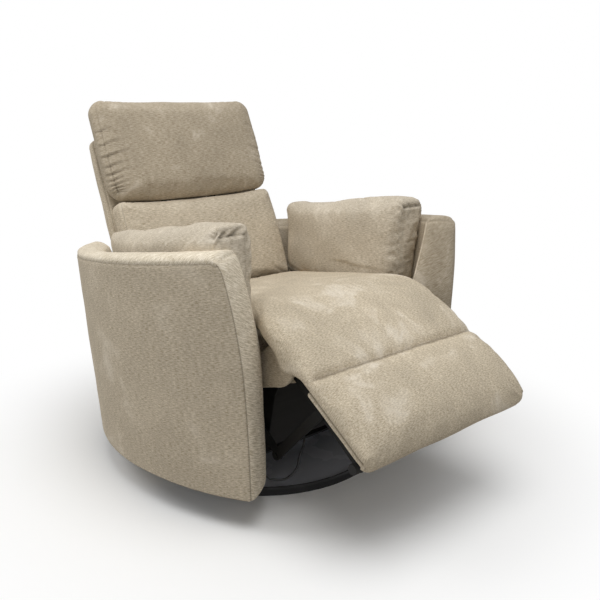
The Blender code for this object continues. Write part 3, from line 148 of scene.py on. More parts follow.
floor.data.materials.append(paint)


# Upholstery cloth: a chenille of pale and taupe polyester yarns, brushed to a short pile.
# To the eye it is a soft matt cloth with fine crosswise slubs and faint upright warp lines.
# Where the pile lies another way it shows cloudy patches and pale streaks of painted sheen,
# and seams, pleats and folds carry a darker line of painted shade.

CLOTH = "cloth"
# Name of the point attribute that holds painted shade in seams, pleats and folds.
PAINTED_SHADE = "painted_shade"

# Across and up in millimetres, noise detail, and a shift that parts the patterns.
WARP = (2.6, 34.0, 1.0, 7.3)
FLECK = (4.0, 2.0, 1.0, 2.9)


def chenille(name, pale, deep, slub, pile_sheen):
    """Chenille over the piece's own cloth map, which is in metres. Slub gives the length and
    the thickness of a thick place in the weft, in millimetres. A yarn is about 1 mm thick and
    is drawn about twice as coarse, so that it shows. The last argument is how far the painted
    sheen of the pile's patches and pale streaks stands out."""
    paint, tree, shader, point = material(name)
    flat = add(tree, "ShaderNodeUVMap", {"uv_map": CLOTH})
    drift = add(tree, "ShaderNodeTexNoise", {"Scale": 24.0, "Detail": 2.0}, {"Vector": point})
    wander = add(
        tree,
        "ShaderNodeVectorMath",
        {"operation": "MULTIPLY_ADD", 1: (0.005, 0.005, 0.0)},
        {0: drift.outputs["Color"], 2: flat.outputs["UV"]},
    )
    yarns = []
    for long, thick, detail, shift in ((*slub, 2.0, 0.0), WARP, FLECK):
        settings = {"Scale": (1000.0 / long, 1000.0 / thick, 1.0), "Location": (shift, shift, 0.0)}
        grain = add(tree, "ShaderNodeMapping", settings, {"Vector": wander.outputs[0]})
        settings = {"Scale": 1.0, "Detail": detail, "Roughness": 0.6}
        yarns.append(add(tree, "ShaderNodeTexNoise", settings, {"Vector": grain.outputs[0]}))
    weft, warp, fleck = yarns
    half = add(tree, "ShaderNodeMath", {"operation": "MULTIPLY", 1: 0.10}, {0: warp.outputs["Fac"]})
    more = add(
        tree,
        "ShaderNodeMath",
        {"operation": "MULTIPLY_ADD", 1: 0.18},
        {0: fleck.outputs["Fac"], 2: half.outputs[0]},
    )
    yarn = add(
        tree,
        "ShaderNodeMath",
        {"operation": "MULTIPLY_ADD", 1: 0.72},
        {0: weft.outputs["Fac"], 2: more.outputs[0]},
    )
    settings = {"From Min": 0.38, "From Max": 0.62}
    tone = add(tree, "ShaderNodeMapRange", settings, {"Value": yarn.outputs[0]})
    woven = add(
        tree,
        "ShaderNodeMix",
        {"data_type": "RGBA", 6: srgb(deep), 7: srgb(pale)},
        {0: tone.outputs[0]},
    )
    cloud = add(
        tree,
        "ShaderNodeTexNoise",
        {"Scale": 8.0, "Detail": 5.0, "Roughness": 0.66, "Distortion": 0.5},
        {"Vector": point},
    )
    wide = add(tree, "ShaderNodeTexNoise", {"Scale": 3.1, "Detail": 2.0}, {"Vector": point})
    settings = {"operation": "MULTIPLY", 1: 0.35}
    wide_part = add(tree, "ShaderNodeMath", settings, {0: wide.outputs["Fac"]})
    pile = add(
        tree,
        "ShaderNodeMath",
        {"operation": "MULTIPLY_ADD", 1: 0.65},
        {0: cloud.outputs["Fac"], 2: wide_part.outputs[0]},
    )
    # Painted sheen: where the pile lies another way the cloth is darker or lighter, by a share set by the
    # last argument.
    settings = {
        "From Min": 0.38,
        "From Max": 0.62,
        "To Min": 1.0 - 0.6 * pile_sheen,
        "To Max": 1.0 + 0.4 * pile_sheen,
    }
    brushed = add(tree, "ShaderNodeMapRange", settings, {"Value": pile.outputs[0]})
    settings = {"data_type": "RGBA", "blend_type": "MULTIPLY", 0: 1.0}
    toned = add(tree, "ShaderNodeMix", settings, {6: woven.outputs[2], 7: brushed.outputs[0]})
    # Painted sheen: pale streaks of #ece4d6 where the pile lies another way and catches the light.
    settings = {"interpolation_type": "SMOOTHSTEP", "From Min": 0.53, "From Max": 0.72}
    settings["To Max"] = 2.4 * pile_sheen
    nap = add(tree, "ShaderNodeMapRange", settings, {"Value": cloud.outputs["Fac"]})
    settings = {"data_type": "RGBA", 7: srgb("#ece4d6")}
    sheen_streaked = add(tree, "ShaderNodeMix", settings, {0: nap.outputs[0], 6: toned.outputs[2]})
    # Painted shade: seams, pleats and folds darken towards #4a3f32 by the stored attribute.
    sewn = add(tree, "ShaderNodeAttribute", {"attribute_name": PAINTED_SHADE})
    settings = {"operation": "MULTIPLY", 1: 0.72}
    shade_share = add(tree, "ShaderNodeMath", settings, {0: sewn.outputs["Fac"]})
    settings = {"data_type": "RGBA", 7: srgb("#4a3f32")}
    seam_shaded = add(tree, "ShaderNodeMix", settings, {0: shade_share.outputs[0], 6: sheen_streaked.outputs[2]})
    tree.links.new(seam_shaded.outputs[2], shader.inputs["Base Color"])
    rough = add(tree, "ShaderNodeMapRange", {"To Min": 1.0, "To Max": 0.8}, {"Value": pile.outputs[0]})
    tree.links.new(rough.outputs[0], shader.inputs["Roughness"])
    bump = add(
        tree,
        "ShaderNodeBump",
        {"Strength": 0.5, "Distance": 0.0012},
        {"Height": yarn.outputs[0]},
    )
    tree.links.new(bump.outputs[0], shader.inputs["Normal"])
    shader.inputs["Specular IOR Level"].default_value = 0.2
    shader.inputs["Sheen Weight"].default_value = 0.15
    shader.inputs["Sheen Roughness"].default_value = 0.5
    shader.inputs["Sheen Tint"].default_value = srgb("#efe6d6")
    return paint


body_cloth = chenille("taupe_chenille", "#ded2be", "#a99b83", (14.0, 1.8), 0.15)
seat_cloth = chenille("taupe_chenille_brushed", "#dfd3bd", "#ae9f87", (7.0, 2.2), 0.23)
# A paler copy of the cloth, painted light, for the rim and front strip of the right arm, which light from
# above at the left makes palest.
lit_strip_cloth = chenille("taupe_chenille_painted_light", "#f6ecda", "#bbad92", (20.0, 2.2), 0.08)
pillow_cloth = chenille("taupe_chenille_loose", "#dfd5c4", "#b0a38d", (12.0, 1.9), 0.16)
# A darker copy of the cloth, painted shade, for the head pad and the left arm's strip.
shaded_cloth = chenille("taupe_chenille_painted_shade", "#c5b9a5", "#9a8c76", (13.0, 1.8), 0.16)


# Padded panels: each stuffed part starts as a fine grid over a block, in metres along it,
# across it and up through its stuffing. Its edges are rounded, it is bent to its place, blown
# up as cloth where the foam crowns it, and then its seams and pleats are drawn in.


def ticks(length, fine, coarse, margin):
    """Places along a length, close together near both ends and wider in the middle."""
    spots = np.linspace(0.0, length, 400)
    near = np.minimum(spots, length - spots)
    step = fine + (coarse - fine) * np.clip(near / margin, 0.0, 1.0)
    total = np.concatenate([[0.0], np.cumsum(np.diff(spots) / step[:-1])])
    wanted = max(int(round(total[-1])), 2)
    return np.interp(np.linspace(0.0, total[-1], wanted + 1), total, spots)


def block(along, across, through):
    """Points, faces and side of every face of a closed box grid.
    Sides are 0 rear, 1 front, 2 left, 3 right, 4 under, 5 top."""
    counts = (len(along), len(across), len(through))
    index = -np.ones(counts, int)
    edge = np.zeros(counts, bool)
    edge[0], edge[-1] = True, True
    edge[:, 0], edge[:, -1] = True, True
    edge[:, :, 0], edge[:, :, -1] = True, True
    index[edge] = np.arange(edge.sum())
    a, b, c = np.meshgrid(along, across, through, indexing="ij")
    points = np.stack([a[edge], b[edge], c[edge]], 1)
    faces, sides = [], []
    for side, (axis, end) in enumerate(((0, 0), (0, -1), (1, 0), (1, -1), (2, 0), (2, -1))):
        flat = np.take(index, end if end == 0 else counts[axis] - 1, axis)
        quads = np.stack([flat[:-1, :-1], flat[1:, :-1], flat[1:, 1:], flat[:-1, 1:]], -1).reshape(-1, 4)
        if (axis == 1) == (end == -1):
            quads = quads[:, ::-1]
        faces.append(quads)
        sides.append(np.full(len(quads), side))
    return points, np.concatenate(faces), np.concatenate(sides)


def round_off(points, low, high, radius):
    """The box points with the edges and corners of the box rounded."""
    low, high, radius = np.array(low), np.array(high), np.array(radius)
    core = np.clip(points, low + radius, high - radius)
    out = (points - core) / radius
    size = np.linalg.norm(out, axis=1, keepdims=True)
    largest = np.abs(out).max(1, keepdims=True)
    return core + np.where(size > 1e-9, out * largest / np.maximum(size, 1e-9), 0.0) * radius


def dip(distance, width):
    """Share of a sewn groove's depth at a distance from its seam."""
    return np.exp(-((distance / width) ** 2))


def ripple(points, size, amount, seed):
    """Soft unevenness of stuffing: smooth noise of this size, up to this amount."""
    spots = points / size + seed * 17.3
    return amount * np.array([noise.noise(Vector(spot)) for spot in spots])


def outward(points, faces):
    """Normal at every point of a grid."""
    corners = points[faces]
    normals = np.cross(corners[:, 2] - corners[:, 0], corners[:, 3] - corners[:, 1])
    total = np.zeros_like(points)
    for k in range(4):
        np.add.at(total, faces[:, k], normals)
    return total / np.maximum(np.linalg.norm(total, axis=1, keepdims=True), 1e-12)


def faced(points, faces):
    """The faces turned so that all of them point out of the closed grid."""
    corners = points[faces] - points.mean(0)
    normals = np.cross(corners[:, 2] - corners[:, 0], corners[:, 3] - corners[:, 1])
    return faces if (normals * corners.mean(1)).sum() > 0.0 else faces[:, ::-1]


def sew(name, points, faces, map_of_corners, paints, paint_index=None):
    """Mesh object from a grid, with its cloth map in metres and its materials."""
    data = bpy.data.meshes.new(name)
    data.from_pydata(points.tolist(), [], faces.tolist())
    layer = data.uv_layers.new(name=CLOTH)
    layer.data.foreach_set("uv", np.ascontiguousarray(map_of_corners, np.float32).ravel())
    for paint in paints:
        data.materials.append(paint)
    if paint_index is not None:
        data.polygons.foreach_set("material_index", np.ascontiguousarray(paint_index, np.int32))
    data.shade_smooth()
    data.update()
    piece = bpy.data.objects.new(name, data)
    bpy.context.scene.collection.objects.link(piece)
    return piece


def mark(piece, points, painted_shade):
    """Moves the piece's points to their last places and stores the painted shade of each,
    deepest in its seams, pleats and folds.
    """
    piece.data.vertices.foreach_set("co", np.ascontiguousarray(points, np.float32).ravel())
    layer = piece.data.attributes.new(PAINTED_SHADE, "FLOAT", "POINT")
    layer.data.foreach_set("value", np.clip(painted_shade, 0.0, 1.0).astype(np.float32))
    piece.data.update()


def cloth_map(box_points, faces, sides, turn=None, swap=()):
    """Cloth coordinates of every face corner: across and along on flat panels, and through
    the stuffing on the side panels. Turn is the angle of the weave for each face."""
    corners = box_points[faces]
    pairs = {0: (1, 2), 1: (1, 2), 2: (2, 0), 3: (2, 0), 4: (1, 0), 5: (1, 0)}
    flat = np.zeros((len(faces), 4, 2))
    for side, (first, second) in pairs.items():
        if side in swap:
            first, second = second, first
        chosen = sides == side
        flat[chosen, :, 0] = corners[chosen][:, :, first] + 0.37 * side
        flat[chosen, :, 1] = corners[chosen][:, :, second]
    if turn is not None:
        cosine, sine = np.cos(turn)[:, None], np.sin(turn)[:, None]
        along, up = flat[..., 0], flat[..., 1]
        flat = np.stack([along * cosine - up * sine, along * sine + up * cosine], -1)
    return flat.reshape(-1, 2)


LAST_FRAME = 20


def stuff(piece, pinned, pressure, spare, cap):
    """Blows the cover up as cloth under pressure with its pinned points held. Spare is how much
    longer the cloth is than the block, and no point moves further than the cap."""
    rest = np.array([v.co for v in piece.data.vertices])
    group = piece.vertex_groups.new(name="sewn")
    group.add([int(k) for k in np.nonzero(pinned)[0]], 1.0, "REPLACE")
    cloth = piece.modifiers.new("cloth", "CLOTH")
    cloth.settings.vertex_group_mass = "sewn"
    cloth.settings.use_pressure = True
    cloth.settings.uniform_pressure_force = pressure
    cloth.settings.shrink_min = -spare
    cloth.settings.effector_weights.gravity = 0.0
    cloth.settings.quality = 5
    cloth.settings.mass = 0.3
    cloth.settings.tension_stiffness = 15.0
    cloth.settings.compression_stiffness = 15.0
    cloth.settings.bending_stiffness = 0.4
    cloth.settings.air_damping = 5.0
    cloth.point_cache.frame_start = 1
    cloth.point_cache.frame_end = LAST_FRAME
    for moment in range(1, LAST_FRAME + 1):
        bpy.context.scene.frame_set(moment)
    blown = piece.evaluated_get(bpy.context.evaluated_depsgraph_get()).to_mesh()
    moved = np.array([v.co for v in blown.vertices]) - rest
    piece.evaluated_get(bpy.context.evaluated_depsgraph_get()).to_mesh_clear()
    piece.modifiers.remove(cloth)
    piece.vertex_groups.remove(group)
    bpy.context.scene.frame_set(1)
    far = np.linalg.norm(moved, axis=1, keepdims=True)
    return rest + moved * cap / np.sqrt(cap**2 + far**2)


# Barrel arms: a bent ply wall under foam, its outer panel one piece of cloth. A strip cut
# on the bias runs up the front face and back along the rim, joined to that panel by a
# turned seam. The foam bellies out a little between the rim and the skirt.

BARREL_Y = -0.010
SKIRT_Z, RIM_Z = 0.095, 0.667
ARM_RUN, ARM_RISE, ARM_DEEP = 1.10, RIM_Z - SKIRT_Z, 0.08
RIM_FALL = 0.116
RIM_START_Y = 0.326
ARM_CORNER = 0.034
ARM_FOOT_Z = 0.0842
STRIP_TURN = 0.010

# The outer face is an ellipse in plan, flared towards the rim. Its front edge leans back
# towards the foot, in degrees round the ellipse.
ARM_WIDE, ARM_LONG = 0.460, 0.568
ARM_FLARE, ARM_BELLY = 0.036, 0.008
FRONT_TURN, FRONT_LEAN, FACE_TURN = 35.2, 5.7, 1.4
ARM_REAR_X = 0.300

# The arm is thinner over the side decks, where the pillows stand against it.
FACE_DEEP, FACE_FOOT_EXTRA = 0.091, 0.044
DECK_TOP_Z = 0.430
WALL_DEEP, LOW_WALL_DEEP = 0.080, 0.095


def arm_place(share, depth, z):
    """Place of a point of the arm, from its share of the way round, its depth inside the
    outer face and its height."""
    height = (z - SKIRT_Z) / ARM_RISE
    belly = np.clip((share - 0.15) / 0.85, 0.0, 1.0)
    out = ARM_FLARE * height + ARM_BELLY * np.sin(math.pi * belly) - depth
    wide, long = ARM_WIDE + out, ARM_LONG + out
    drop = np.clip(1.0 - height, 0.0, 1.0)
    front = -(FRONT_TURN + FRONT_LEAN * (1.0 - (1.0 - drop) ** 3))
    front = front - FACE_TURN * np.clip(depth / 0.09, 0.0, 1.0)
    rear = np.degrees(np.arccos(np.clip(ARM_REAR_X / wide, -1.0, 1.0)))
    angle = np.radians(front + (rear - front) * share)
    return wide * np.cos(angle), BARREL_Y + long * np.sin(angle)


def arm_thickness(share, z):
    """The arm is thickest low on its front face, and thinner round the back."""
    drop = np.clip((RIM_Z - z) / ARM_RISE, 0.0, 1.0)
    face = FACE_DEEP + FACE_FOOT_EXTRA * np.clip(drop / 0.4, 0.0, 1.0)
    run = np.where(z > DECK_TOP_Z, WALL_DEEP, LOW_WALL_DEEP)
    blend = np.clip(share / 0.07, 0.0, 1.0)
    return face + (run - face) * blend * blend * (3.0 - 2.0 * blend)


for side, sign in (("left", 1.0), ("right", -1.0)):
    along = ticks(ARM_RUN, 0.003, 0.008, 0.05)
    across = ticks(ARM_DEEP, 0.003, 0.007, 0.02)
    through = ticks(ARM_RISE, 0.003, 0.008, 0.05)
    grid, faces, sides = block(along, across, through)
    soft = grid.copy()

    corner = ARM_CORNER - 0.25 * grid[:, 1]
    near_a = np.clip(1.0 - grid[:, 0] / corner, 0.0, 1.0)
    near_c = np.clip(1.0 - (ARM_RISE - grid[:, 2]) / corner, 0.0, 1.0)
    both = np.maximum(np.hypot(near_a, near_c), 1e-9)
    pull = np.where((near_a > 0) & (near_c > 0), np.maximum(near_a, near_c) / both, 1.0)
    soft[:, 0] = np.where(near_a > 0, corner * (1.0 - near_a * pull), grid[:, 0])
    soft[:, 2] = np.where(near_c > 0, ARM_RISE - corner * (1.0 - near_c * pull), grid[:, 2])
    high = (ARM_RUN, ARM_DEEP, ARM_RISE)
    soft = round_off(soft, (0.0, 0.0, -0.03), high, (0.010, 0.010, 0.014))

    mid = 1.0 - (2.0 * soft[:, 1] / ARM_DEEP - 1.0) ** 2
    on_top = np.clip((soft[:, 2] - ARM_RISE + 0.020) / 0.020, 0.0, 1.0)
    on_face = np.clip(1.0 - soft[:, 0] / 0.014, 0.0, 1.0)
    soft[:, 2] += on_top * (0.011 * mid + 0.001)
    soft[:, 0] -= on_face * 0.008 * mid

    share = soft[:, 0] / ARM_RUN
    rim_y = arm_place(share, 0.0, np.full(len(soft), RIM_Z))[1]
    rim = RIM_Z - RIM_FALL * (rim_y + RIM_START_Y)
    z = ARM_FOOT_Z + (rim - ARM_FOOT_Z) * soft[:, 2] / ARM_RISE
    x, y = arm_place(share, soft[:, 1] / ARM_DEEP * arm_thickness(share, z), z)
    points = np.stack([x * sign, y, z], 1)
    faces = faced(points, faces)
    normals = outward(points, faces)

    from_top = ARM_RISE - STRIP_TURN - grid[:, 2]
    seam = np.minimum(np.hypot(grid[:, 1], from_top), np.hypot(grid[:, 1], grid[:, 0] - 0.003))
    far_edge = ARM_DEEP - grid[:, 1]
    inner = np.minimum(np.hypot(far_edge, ARM_RISE - grid[:, 2]), np.hypot(far_edge, grid[:, 0]))
    swell = ripple(points, 0.16, 0.0024, 1.0 + sign) + ripple(points, 0.06, 0.0008, 4.0)
    pucker = 0.0006 * np.sin(grid[:, 0] * 2.0 * math.pi / 0.021) * dip(seam, 0.018)
    groove = 0.0020 * dip(seam, 0.0045) + 0.0010 * dip(inner, 0.0050)
    points += normals * (swell + pucker - groove)[:, None]

    middle_z = grid[faces][:, :, 2].mean(1)
    bias = np.isin(sides, (0, 5)) | ((sides == 2) & (middle_z > ARM_RISE - STRIP_TURN))
    turn = np.where(bias, math.radians(38.0), 0.0)
    cloth_places = cloth_map(grid, faces, sides, turn, swap=(2, 3))
    # Painted light and shade: the right arm's strip takes the paler copy of the cloth, and the left arm's
    # strip takes the darker one.
    strip_cloth = lit_strip_cloth if side == "right" else shaded_cloth
    cloths = [body_cloth, strip_cloth]
    arm = sew("arm_cover_" + side, points, faces, cloth_places, cloths, bias.astype(int))
    # Painted shade along the turned seam and the inner edges of the arm.
    mark(arm, points, 0.62 * dip(seam, 0.0022) + 0.25 * dip(inner, 0.0024))
    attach(arm, "carriage")
    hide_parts("arm_" + side)


# Chaise pad: one long cushion from the back of the seat over the knee and down the
# footrest, channelled once across the calf. Foam under polyester wadding, the cover sewn
# through at the channel and turned under at both sides.

# The line of the pad's top as y and z, from the rear of the seat to the end of the footrest.
PAD_TOP = (
    (0.190, 0.440),
    (0.150, 0.452),
    (0.050, 0.467),
    (-0.080, 0.488),
    (-0.200, 0.507),
    (-0.298, 0.520),
    (-0.335, 0.514),
    (-0.371, 0.499),
    (-0.407, 0.480),
    (-0.442, 0.463),
    (-0.466, 0.450),
    (-0.494, 0.432),
    (-0.518, 0.416),
    (-0.544, 0.400),
    (-0.577, 0.378),
    (-0.609, 0.357),
    (-0.641, 0.333),
    (-0.668, 0.312),
    (-0.688, 0.295),
)
KNEE = np.array([-0.330, 0.420])
LEG_SLOPE = math.radians(33.0)
DOWN_LEG = np.array([-math.cos(LEG_SLOPE), -math.sin(LEG_SLOPE)])
OFF_LEG = np.array([-math.sin(LEG_SLOPE), math.cos(LEG_SLOPE)])
DECK_Z = 0.3765
ROLL_TOP = 0.0892
LEG_UNDER = 0.0668
CHANNEL_Y, CHANNEL_GATHER = -0.518, 0.047
PAD_SIDE_ROUND, PAD_REAR_ROUND, PAD_FOOT_ROUND = 0.026, 0.020, 0.034
PAD_HALF, PAD_FLARE = 0.2615, 0.0235

# Past the side panels the pad's edge hangs down over the knee by this much.
HANG = 0.036
PANEL_X = 0.2485

# The pad wraps the footrest board's end, up to its underside.
WRAP_DOWN, WRAP_STEP = 0.3735, 0.0225


def smooth_path(knots, count):
    """Even points along a smooth curve through the knots, and the distance to each."""
    knots = np.array(knots, float)
    ends = [2.0 * knots[0] - knots[1], *knots, 2.0 * knots[-1] - knots[-2]]
    fine = []
    for before, here, after, beyond in zip(ends, ends[1:], ends[2:], ends[3:]):
        for t in np.linspace(0.0, 1.0, 12, endpoint=False):
            slope = (after - before) * t
            bend = (2.0 * before - 5.0 * here + 4.0 * after - beyond) * t**2
            twist = (3.0 * here - before - 3.0 * after + beyond) * t**3
            fine.append(here + 0.5 * (slope + bend + twist))
    fine = np.array([*fine, ends[-2]])
    run = np.concatenate([[0.0], np.cumsum(np.linalg.norm(np.diff(fine, axis=0), axis=1))])
    spots = np.linspace(0.0, run[-1], count)
    return np.stack([np.interp(spots, run, fine[:, k]) for k in range(2)], 1), spots


def along_path(path, spots, where):
    """Points of a path at distances along it, and its directions there, on and upwards."""
    points, ahead, behind = (
        np.stack([np.interp(where + step, spots, path[:, k]) for k in range(2)], 1)
        for step in (0.0, 0.004, -0.004)
    )
    tangent = ahead - behind
    tangent /= np.linalg.norm(tangent, axis=1, keepdims=True)
    return points, tangent, np.stack([tangent[:, 1], -tangent[:, 0]], 1)


pad_path, pad_spots = smooth_path(PAD_TOP, 240)
PAD_RUN = pad_spots[-1] + 0.020
channel_at = float(np.interp(-CHANNEL_Y, -pad_path[:, 0], pad_spots))
along = ticks(PAD_RUN, 0.004, 0.007, 0.04)
along = np.sort(np.append(along, [channel_at - 0.003, channel_at, channel_at + 0.003]))
grid, faces, sides = block(along, ticks(2.0, 0.012, 0.028, 0.3) - 1.0, ticks(1.0, 0.08, 0.16, 0.3))
top = along_path(pad_path, pad_spots, np.clip(grid[:, 0], 0.0, pad_spots[-1]))[0]
from_knee = top - KNEE
down_leg = from_knee @ DOWN_LEG
over_deck = np.where(top[:, 0] > -0.26, top[:, 1] - DECK_Z, 0.0)
over_roll = np.clip(np.linalg.norm(from_knee, axis=1) - ROLL_TOP, 0.006, 0.2)
past_end = np.clip(grid[:, 0] - pad_spots[-1], 0.0, 0.02)
wrapped = np.clip((down_leg + past_end - WRAP_DOWN) / 0.006, 0.0, 1.0)
leg_under = LEG_UNDER - WRAP_STEP * wrapped * wrapped * (3.0 - 2.0 * wrapped)
over_leg = np.clip(from_knee @ OFF_LEG - leg_under, 0.02, 0.2)
on_deck = np.clip((top[:, 0] + 0.285) / 0.05, 0.0, 1.0)
on_leg = np.clip((down_leg - 0.055) / 0.05, 0.0, 1.0)
thick = over_deck * on_deck + (1.0 - on_deck) * (over_roll * (1.0 - on_leg) + over_leg * on_leg)
half = PAD_HALF + PAD_FLARE * (0.5 - 0.5 * np.tanh((top[:, 0] + 0.335) / 0.03))
past_seat = np.clip((-0.25 - top[:, 0]) / 0.05, 0.0, 1.0)
over_knee = past_seat * np.clip((top[:, 0] + 0.50) / 0.06, 0.0, 1.0)
past_panel = np.clip((np.abs(grid[:, 1]) * half - PANEL_X) / 0.006, 0.0, 1.0)
thick = thick + HANG * over_knee * past_panel * past_panel * (3.0 - 2.0 * past_panel)
box_points = np.stack([grid[:, 0], grid[:, 1] * half, grid[:, 2] * thick], 1)

# Rounded ends and sides, and a tighter round along the underside.
round_c = np.minimum(PAD_SIDE_ROUND, 0.49 * thick)
low_round = np.where(grid[:, 2] > 0.5, round_c, round_c * 0.3)
end_round = np.where(grid[:, 0] < 0.5, PAD_REAR_ROUND, PAD_FOOT_ROUND)
core = np.stack(
    [
        np.clip(box_points[:, 0], PAD_REAR_ROUND, PAD_RUN - PAD_FOOT_ROUND),
        np.clip(box_points[:, 1], -half + PAD_SIDE_ROUND, half - PAD_SIDE_ROUND),
        np.clip(box_points[:, 2], round_c * 0.3, thick - round_c),
    ],
    1,
)
scale = np.stack([end_round, np.full(len(grid), PAD_SIDE_ROUND), low_round], 1)
unit = (box_points - core) / scale
size = np.maximum(np.linalg.norm(unit, axis=1, keepdims=True), 1e-9)
soft = core + unit * np.abs(unit).max(1, keepdims=True) / size * scale

where = np.clip(soft[:, 0], 0.0, pad_spots[-1])
top, forward, lift = along_path(pad_path, pad_spots, where)
lift = lift * np.sign(lift[:, 1:2])
spot = top + forward * (soft[:, 0] - where)[:, None] - lift * (thick - soft[:, 2])[:, None]
over = np.clip(soft[:, 2] / thick, 0.0, 1.0)
middle = 1.0 - (soft[:, 1] / half) ** 2
on_calf = np.clip((soft[:, 0] - channel_at) / (PAD_RUN - channel_at), 0.0, 1.0)
crown = (0.001 + 0.005 * middle + 0.010 * np.sin(math.pi * on_calf)) * over
points = np.stack([soft[:, 1], spot[:, 0] + lift[:, 0] * crown, spot[:, 1] + lift[:, 1] * crown], 1)
faces = faced(points, faces)

channel = np.abs(grid[:, 0] - channel_at)
pad = sew("chaise_pad", points, faces, cloth_map(box_points, faces, sides), [seat_cloth])
held = (over < 0.55) | (channel < 0.004) | (grid[:, 0] < 0.02)
blown = stuff(pad, held, 4.0, 0.012, 0.010)
normals = outward(blown, faces)
on_top = np.clip(over * 2.0 - 1.0, 0.0, 1.0)
uneven = 3.0 * np.sin(box_points[:, 1] * 31.0)
gather = 0.5 + 0.5 * np.sin(box_points[:, 1] * 2.0 * math.pi / CHANNEL_GATHER + uneven)
groove = (0.008 * dip(channel, 0.009) + 0.0022 * gather * dip(channel, 0.030)) * on_top
sway = ripple(blown, 0.11, 0.0022, 3.0) * (0.25 + 0.75 * middle)
blown += normals * (sway - groove)[:, None]
under_seam = np.hypot(half - np.abs(box_points[:, 1]), box_points[:, 2])
# Painted shade in the channel and along the side seams underneath.
mark(pad, blown, 0.8 * dip(channel, 0.0028) * on_top + 0.5 * dip(under_seam, 0.004))
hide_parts("seat_cushion", "leg_cushion")
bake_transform(pad)


# Footrest board: a ply board wrapped in the same cloth, with a thin layer of wadding. The
# pad is stapled to it all round and turned down over its end.

BOARD_START, BOARD_END = 0.168, 0.3775
BOARD_HALF = 0.2825
BOARD_UNDER, BOARD_FACE = 0.0525, 0.0662
BOARD_ROUND = 0.006

tall = BOARD_FACE - BOARD_UNDER
along = ticks(BOARD_END - BOARD_START, 0.0025, 0.009, 0.03)
across = ticks(2.0 * BOARD_HALF, 0.003, 0.012, 0.03) - BOARD_HALF
grid, faces, sides = block(along, across, np.linspace(0.0, tall, 6))
high = (BOARD_END - BOARD_START, BOARD_HALF, tall)
soft = round_off(grid, (0.0, -BOARD_HALF, 0.0), high, (BOARD_ROUND, BOARD_ROUND, BOARD_ROUND))
down, off = BOARD_START + soft[:, 0], BOARD_UNDER + soft[:, 2]
spot = KNEE + down[:, None] * DOWN_LEG + off[:, None] * OFF_LEG
points = np.stack([soft[:, 1], spot[:, 0], spot[:, 1]], 1)
faces = faced(points, faces)
normals = outward(points, faces)
points += normals * ripple(points, 0.05, 0.0008, 11.0)[:, None]
board = sew("footrest_board_cover", points, faces, cloth_map(grid, faces, sides), [body_cloth])
# Painted shade along the edge where the board meets the pad.
mark(board, points, 0.5 * dip(tall - grid[:, 2], 0.004))
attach(board, "footrest")
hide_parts("footrest_board")


# Back: a lumbar pad and a head pad, crowned foam in boxed covers, on an upholstered shell.
# The head pad's front panel is gathered into its side seams, most of all near its foot.

LEAN = math.radians(23.0)
BACK_FOOT_Y, BACK_FOOT_Z = 0.206, 0.443

# Each pleat's height up the head pad, its reach across the front and its depth.
PLEATS = (
    (0.008, 0.030, 0.0030),
    (0.017, 0.036, 0.0034),
    (0.028, 0.040, 0.0038),
    (0.041, 0.046, 0.0042),
    (0.056, 0.040, 0.0036),
    (0.074, 0.052, 0.0044),
    (0.098, 0.044, 0.0032),
    (0.128, 0.060, 0.0044),
    (0.164, 0.040, 0.0026),
    (0.206, 0.034, 0.0018),
)

# The pleats at the sitter's left are this share as deep.
FAINT_SIDE = 0.45


def back_place(along, across, depth):
    """World points from distances up the back, across it and behind its front plane."""
    y = BACK_FOOT_Y + along * math.sin(LEAN) + depth * math.cos(LEAN)
    z = BACK_FOOT_Z + along * math.cos(LEAN) - depth * math.sin(LEAN)
    return np.stack([across, y, z], 1)


